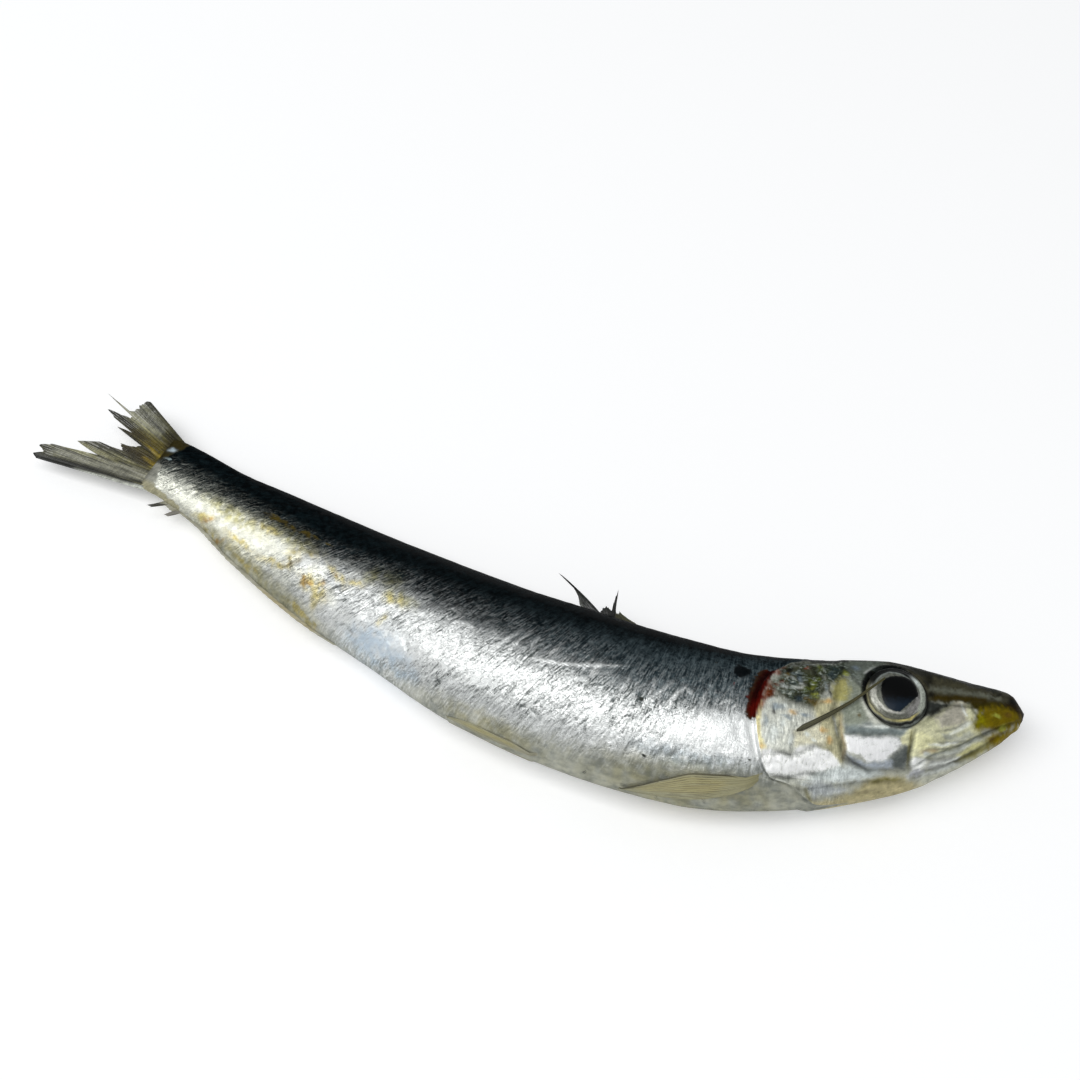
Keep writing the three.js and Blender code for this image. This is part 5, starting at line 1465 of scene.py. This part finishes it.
def buildCaudal(material):
    t, share = finGrid(caudal)
    phase = share * caudal["count"] + caudal["placeSway"] * softNoise(share * 17, 0, seed=30)
    length = np.interp(share, *zip(*caudal["rays"]))
    torn = caudal["tornDepth"] * raysAt(phase + 0.5, caudal["tornSharpness"])
    torn = torn * (0.6 + 0.6 * softNoise(phase / 3, 0, seed=29))
    frayed = caudal["lengthSway"] * softNoise(phase * 1.3, 0, seed=31) - torn
    length = length * (1 + frayed / caudal["usualLength"])
    along = -caudal["inside"] + t * (length + caudal["inside"])
    fan = np.radians(mixed(*caudal["spread"], share))
    across = mixed(caudal["low"], caudal["high"], share) + along * np.sin(fan)
    across = across * np.where(along < 0, 1 + along * 0.08, 1)
    ridge = mixed(raysAt(phase), raysAt(2 * phase), smoothStep(along, *caudal["forks"]))
    edgeOn = np.maximum(1 - (2 * share - 1) ** 2, caudal["thinnestRoot"])
    flesh = caudal["rootThick"] * edgeOn * (1 - smoothStep(along, *caudal["fleshEnd"]))
    rise, turns, grown = caudal["wave"]
    ripple = rise * np.sin(share * turns) * np.clip(along, 0, None) / grown
    rise, size, grown = caudal["ripple"]
    ripple += rise * softNoise(phase * 0.6, along / size, seed=32) * np.clip(along / grown, 0, 1)
    centre, tailward, backward, outward = frameAt(fish["length"])
    steps = (tailward, along * np.cos(fan)), (backward, across), (outward, ripple)
    middle = centre + sum(direction * amount[..., None] for direction, amount in steps)
    span = share * (caudal["high"] - caudal["low"])
    buildFin(
        "caudalFin", middle, outward, bladeOf(caudal, t, ridge, flesh), material, "caudal_fin",
        floats=dict(along=along / 22, ridge=ridge),
        place=(along, phase / 2.4, 0 * along),
        painted=paintFin(caudal, along, span, ridge, phase, caudal["seed"]))


edgeFins = dict(
    dorsal=dict(
        side=1, curl=(4, -1), rows=30, columns=340, node="dorsal_fin", slot="fin_dark",
        blade=(0.1, 0.42, 0.18, 0.85),
        # root station, ray length, sweep from the body's line in degrees
        rays=[
            (61, 2, 31), (61.8, 2.2, 33), (62.6, 2.5, 37), (63.3, 2.4, 41), (63.9, 2.6, 46),
            (64.6, 1.9, 50), (65.2, 1.6, 56), (65.7, 1.5, 62), (66.4, 1.5, 78), (66.85, 5, 82),
            (67.1, 1.4, 76), (67.4, 2.2, 62), (67.85, 1.2, 27.5), (67.9, 10.1, 27.5),
            (68.4, 8.9, 29.5), (69, 8, 31), (69.7, 6.7, 34), (70.5, 4.8, 38), (71.2, 2.9, 42),
            (71.9, 1.3, 44),
        ],
        rootTone=(84, 87, 76), tipTone=(146, 150, 140), rayTone=(12, 13, 10),
        rayStrength=0.95, fade=5, lined=0.5, bundled=0.3, wobble=0.3,
        # place along the fin in rays and length along the ray
        stains=dict(
            blade=((10, 12, 10), 0.2, 0.96, 0.1, 0.2, [
                (12.4, -1), (13.5, -1), (13.6, 5), (14.6, 7), (16, 7), (16, 11), (12.4, 11)]),
            bladeWeb=((20, 23, 19), 0.3, 0.95, 0.6, 1, [(13.6, -1), (18, -1), (18, 9), (13.6, 9)]),
            mound=((54, 52, 14), 0.5, 0.85, 0.6, 0.2, [(-1, -1), (8.2, -1), (8.2, 3.4), (-1, 3.4)]),
            fork=((12, 13, 10), 0.3, 0.96, 0.1, 0.2, [(8.2, -1), (12.2, -1), (12.2, 6), (8.2, 6)]),
        )),
    anal=dict(
        side=-1, curl=(0, 0), rows=26, columns=360, node="anal_fin", slot="fin_pale",
        blade=(0.1, 0.42, 0.18, 0.85),
        rays=[
            (104, 1, 16), (108, 1.5, 18), (112, 1.6, 18), (116, 1.5, 18), (120, 1.5, 17),
            (124, 1.5, 16), (128, 1.5, 15), (132, 1.4, 14), (135, 1.4, 12), (138, 1.4, 12),
            (141, 1.3, 14), (142, 1.1, 34), (142.2, 2.3, 46), (142.9, 2.3, 46), (143.1, 0.9, 44),
            (145, 0.8, 38), (145.2, 3, 38), (146, 3, 38), (146.2, 0.8, 40),
        ],
        rootTone=(160, 158, 138), tipTone=(180, 180, 166), rayTone=(130, 124, 94),
        rayStrength=0.35, fade=3, lined=0.2, bundled=0.1, wobble=0.3,
        stains=dict(
            gold=((176, 156, 90), 0.5, 0.4, 0.6, 0.2, [(1, 0.4), (4, 0.4), (4, 3), (1, 3)]),
            stub=((44, 42, 34), 0.4, 0.95, 0.1, 0.2, [(15.2, 1), (18, 1), (18, 6), (15.2, 6)]),
            stubTwo=((124, 120, 112), 0.3, 0.9, 0.1, 0.2, [
                (11.4, 0.6), (13.8, 0.6), (13.8, 4), (11.4, 4)]),
        )),
)
edgeFin = dict(
    lean=0.1,  # how far both lean off the middle plane
    sunk=0.25,
    buried=0.4,  # length added to each ray for its root
    bow=0.02,
    fineRays=(3, 0.6),  # for each ray, and how strong
    sway=0.12,
    seed=51,
)


def buildEdgeFin(name, fin, material):  # a row of swept rays along the back or the belly
    t, share = finGrid(fin)
    listed = np.arange(len(fin["rays"]))
    rank = share * listed[-1]
    at, length, sweep = (np.interp(rank, listed, values) for values in zip(*fin["rays"]))
    count, strength = edgeFin["fineRays"]
    fineRay = raysAt(rank * count)
    ridge = np.maximum(raysAt(rank, 4), strength * fineRay)
    length = length * (1 + 0.1 * (fineRay - 0.5))
    length = length + edgeFin["sway"] * softNoise(rank * 5, 0, seed=33)
    _, tailward, backward, outward = frameAt(at)
    root = bodyPoint(at, 90.0 * fin["side"], 1, -edgeFin["sunk"])
    away = unit(backward + outward * edgeFin["lean"]) * fin["side"]
    turn = np.radians(sweep + mixed(*fin["curl"], t))[..., None]
    ray = tailward * np.cos(turn) + away * np.sin(turn)
    reach = t * (length + edgeFin["buried"])
    bow = edgeFin["bow"] * fin["side"] * length * np.sin(t * math.pi)
    middle = root + ray * reach[..., None] + outward * bow[..., None]
    buildFin(
        name, middle, outward, bladeOf(fin, t, ridge), material, fin["node"],
        floats=dict(along=reach / 4, ridge=ridge * (0.4 + 0.6 * t)),
        place=(reach, rank * 1.5, 0 * reach),
        painted=paintFin(fin, reach, rank, ridge, rank * count, edgeFin["seed"]))


pairedFins = dict(
    pectoral=dict(
        rays=13, root=2.2, rootLift=-0.3, lift=0.42, tucked=7, rows=84, columns=66,
        blade=(0.12, 0.22, 0.14, 0.9),
        # station, angles up the flank of the upper and the lower edge
        outline=[
            (42.8, -49, -59), (45, -48, -65), (48.5, -49, -72), (52, -57, -76), (55, -68, -79),
            (57.4, -78, -81),
        ],
        rootTone=(158, 154, 120), tipTone=(172, 170, 142), rayTone=(140, 133, 92),
        rayStrength=0.1, fade=16, lined=0.1, bundled=0.12, wobble=0.35,
        # share across from the lower edge times ten, and length along
        stains=dict(
            yellow=((160, 148, 92), 1, 0.5, 0.6, 0.6, [
                (3, 3), (8, 2), (9.4, 7), (8.6, 13), (4, 12)]),
            edge=((44, 40, 24), 0.3, 0.85, 0.5, 0.2, [
                (9.6, 1), (11, 1), (11, 17.4), (9.3, 17.4), (9.6, 10)]),
            tip=((60, 58, 44), 0.8, 0.7, 0.9, 0.2, [
                (6.6, 13.4), (9.6, 12.4), (11, 17.6), (4, 17.6)]),
        )),
    pelvic=dict(
        rays=8, root=1.6, rootLift=-0.3, lift=0.06, tucked=5, rows=64, columns=44,
        blade=(0.12, 0.22, 0.14, 0.9),
        outline=[(70.6, -76, -82), (74, -72, -84), (79, -72, -84), (83.2, -78, -82)],
        rootTone=(158, 156, 136), tipTone=(164, 162, 136), rayTone=(148, 143, 106),
        rayStrength=0.15, fade=10, lined=0.1, bundled=0.1, wobble=0.35,
        stains=dict(
            yellow=((172, 162, 104), 1.4, 0.6, 0.6, 0.6, [(5, 2), (9.6, 2), (9.6, 11), (5, 10)]),
        )),
)


pairedFin = dict(
    ragged=0.9,  # how far the rays end unevenly
    raggedFrom=0.55,
    rootTuck=0.35,  # how much narrower the root is
    rootTurn=5,
    hiddenLift=0.1,  # on the flank that is underneath
    waves=0.08,
    clings=0.22,  # how far the lower edge sinks towards the belly
    rayRise=0.025,
    seed=61,
)


def buildPairedFin(name, fin, flank, material, node):  # lies flat on the flank and follows it
    first, last = fin["outline"][0][0], fin["outline"][-1][0]
    upper, lower = smoothCurve(fin["outline"], 1), smoothCurve(fin["outline"], 2)
    t, share = finGrid(fin)
    at = first - fin["root"] + t * (last - first + fin["root"]) + 0 * share
    inset = np.clip((first - at) / fin["root"], 0, 1)
    phase = share * fin["rays"]
    ridge = raysAt(phase)
    ends = smoothStep(t, pairedFin["raggedFrom"], 1)
    at = at + pairedFin["ragged"] * ends * softNoise(phase * 1.2, 0, seed=34)
    middleAngle = (upper(at) + lower(at)) / 2 + (fin["tucked"] if flank < 0 else 0)
    spread = (upper(at) - lower(at)) / 2 * (1 - pairedFin["rootTuck"] * inset)
    angle = middleAngle + spread * (2 * share - 1) + pairedFin["rootTurn"] * inset
    lift = fin["lift"] if flank > 0 else pairedFin["hiddenLift"]
    lift = mixed(lift, fin["rootLift"], inset**1.5)
    lift = lift + pairedFin["waves"] * softNoise(at / 3, angle / 6, seed=35)
    lift = lift - pairedFin["clings"] * smoothStep(1 - share, 0.6, 1)
    middle = bodyPoint(at, angle, flank, lift + pairedFin["rayRise"] * ridge)
    normal = unit(bodyPoint(at, angle, flank, lift + 1) - bodyPoint(at, angle, flank, lift))
    buildFin(
        name, middle, normal, bladeOf(fin, t, ridge), material, node,
        floats=dict(along=t + 0 * share, ridge=ridge + 0 * t),
        place=(at, phase / 1.5, 0 * at),
        painted=paintFin(fin, at - first, share * 10, ridge, phase, pairedFin["seed"]))


looseRay = dict(
    start=(36, -4.4), end=(21.8, 3.4), wide=0.95, narrow=0.3, low=0.62, high=1.25,
    rows=90, columns=13, web=0.12, ray=0.26, sag=0.35, thinEdge=0.4, crown=0.1,
    blunt=(0.4, 0.08),  # width of its end, and the share of the length over which it widens
    climbs=(0.55, 0.9),
    seed=71,
    rootTone=(84, 82, 62), tipTone=(84, 80, 44), rayTone=(36, 35, 20),
    rayStrength=0.7, fade=14, lined=0.25, bundled=0.2, wobble=0.3, stains={},
)


def buildLooseRay(material):
    t, share = finGrid(looseRay)
    share = 2 * share - 1
    at = mixed(looseRay["start"][0], looseRay["end"][0], t) + 0 * share
    end, widened = looseRay["blunt"]
    width = mixed(looseRay["wide"], looseRay["narrow"], t) / 2
    width = width * mixed(end, 1, smoothStep(t, 0, widened))
    height = mixed(looseRay["start"][1], looseRay["end"][1], t) + share * width
    height = height - looseRay["sag"] * np.sin(t * math.pi)
    lift = mixed(looseRay["low"], looseRay["high"], smoothStep(t, *looseRay["climbs"]))
    lift = lift + looseRay["crown"] * (1 - share**2)
    angle = angleOf(at, height)
    ridge = raysAt(share * 1.5, 2) + 0 * t
    middle = bodyPoint(at, angle, 1, lift)
    normal = unit(bodyPoint(at, angle, 1, lift + 1) - middle)
    thick = mixed(looseRay["web"], looseRay["ray"], ridge) * (1 - looseRay["thinEdge"] * share**2)
    buildFin(
        "looseRay", middle, normal, thick, material, "loose_fin_ray",
        floats=dict(along=0.4 + 0.4 * t + 0 * share, ridge=ridge),
        place=(at, share * 1.2 + 0 * t, 0 * at),
        painted=paintFin(
            looseRay, 16 * t + 0 * share, share * 2, ridge, share * 1.5, looseRay["seed"]))


# Looks of the fins: how clear the web is, and how strongly the tone varies
finLooks = dict(paleFin=(0.5, 0.1), oliveFin=(0.45, 0.6), looseStrip=(0.0, 0.4))

buildBody(skinMaterial())
eyePaint = eyeMaterial()
paleFin, darkFin, looseStrip = (finMaterial(name, *look) for name, look in finLooks.items())
for side, flank in (("right", 1), ("left", -1)):
    buildEye("eye" + side.title(), flank, eyePaint, "eye_" + side)
    for kind, fin in pairedFins.items():
        buildPairedFin(kind + side.title(), fin, flank, paleFin, f"{kind}_fin_{side}")
buildCaudal(darkFin)
buildEdgeFin("dorsalFin", edgeFins["dorsal"], darkFin)
buildEdgeFin("analFin", edgeFins["anal"], paleFin)
buildLooseRay(looseStrip)


studio = dict(
    floorSize=6.0,
    floorTone=(0.9, 0.9, 0.9, 1.0),
    floorRoughness=0.7,
    floorDrop=0.00005,
    worldTone=(0.32, 0.33, 0.34, 1.0),
    floorGlow=0.2,
    softboxSize=(2.3, 1.0),
    softboxHeight=1.5,
    softboxPower=23.0,
    softboxShift=(-0.62, -0.42),
)


def buildStudio():
    paint = Paint("paleFloor")
    paint.finish(
        Base_Color=studio["floorTone"], Roughness=studio["floorRoughness"],
        Emission_Color=(1.0, 1.0, 1.0, 1.0), Emission_Strength=studio["floorGlow"])
    half = studio["floorSize"] / 2
    mesh = bpy.data.meshes.new("floor")
    corners = [(-half, -half), (half, -half), (half, half), (-half, half)]
    mesh.from_pydata([(x, y, -studio["floorDrop"]) for x, y in corners], [], [(0, 1, 2, 3)])
    mesh.materials.append(paint.material)
    floor = bpy.data.objects.new("floor", mesh)
    bpy.context.scene.collection.objects.link(floor)

    light = bpy.data.lights.new("softbox", "AREA")
    light.shape = "RECTANGLE"
    light.size, light.size_y = studio["softboxSize"]
    light.energy = studio["softboxPower"]
    lamp = bpy.data.objects.new("softbox", light)
    lamp.location = (*studio["softboxShift"], studio["softboxHeight"])
    bpy.context.scene.collection.objects.link(lamp)

    world = bpy.data.worlds.new("studio")
    world.use_nodes = True
    world.node_tree.nodes["Background"].inputs["Color"].default_value = studio["worldTone"]
    bpy.context.scene.world = world
    bpy.context.scene.view_settings.view_transform = "Standard"
    print("studio lit")


camera = dict(
    azimuth=18.988,
    elevation=57.149,
    distance=244.716,
    target=(-79.52, 5.415, 8),  # from the snout, like the fish
    lens=50,
    nearest=0.01,
)


def placeCamera():
    turn, tilt = math.radians(camera["azimuth"]), math.radians(camera["elevation"])
    back = Vector((
        math.sin(turn) * math.cos(tilt), -math.cos(turn) * math.cos(tilt), math.sin(tilt)))
    target = Vector(np.array(camera["target"]) + shift)
    data = bpy.data.cameras.new("camera")
    data.lens = camera["lens"]
    data.clip_start = camera["nearest"]
    view = bpy.data.objects.new("camera", data)
    view.location = (target + back * camera["distance"]) * millimetre
    view.rotation_euler = (-back).to_track_quat("-Z", "Y").to_euler()
    bpy.context.scene.collection.objects.link(view)
    bpy.context.scene.camera = view
    print("camera set")


buildStudio()
placeCamera()
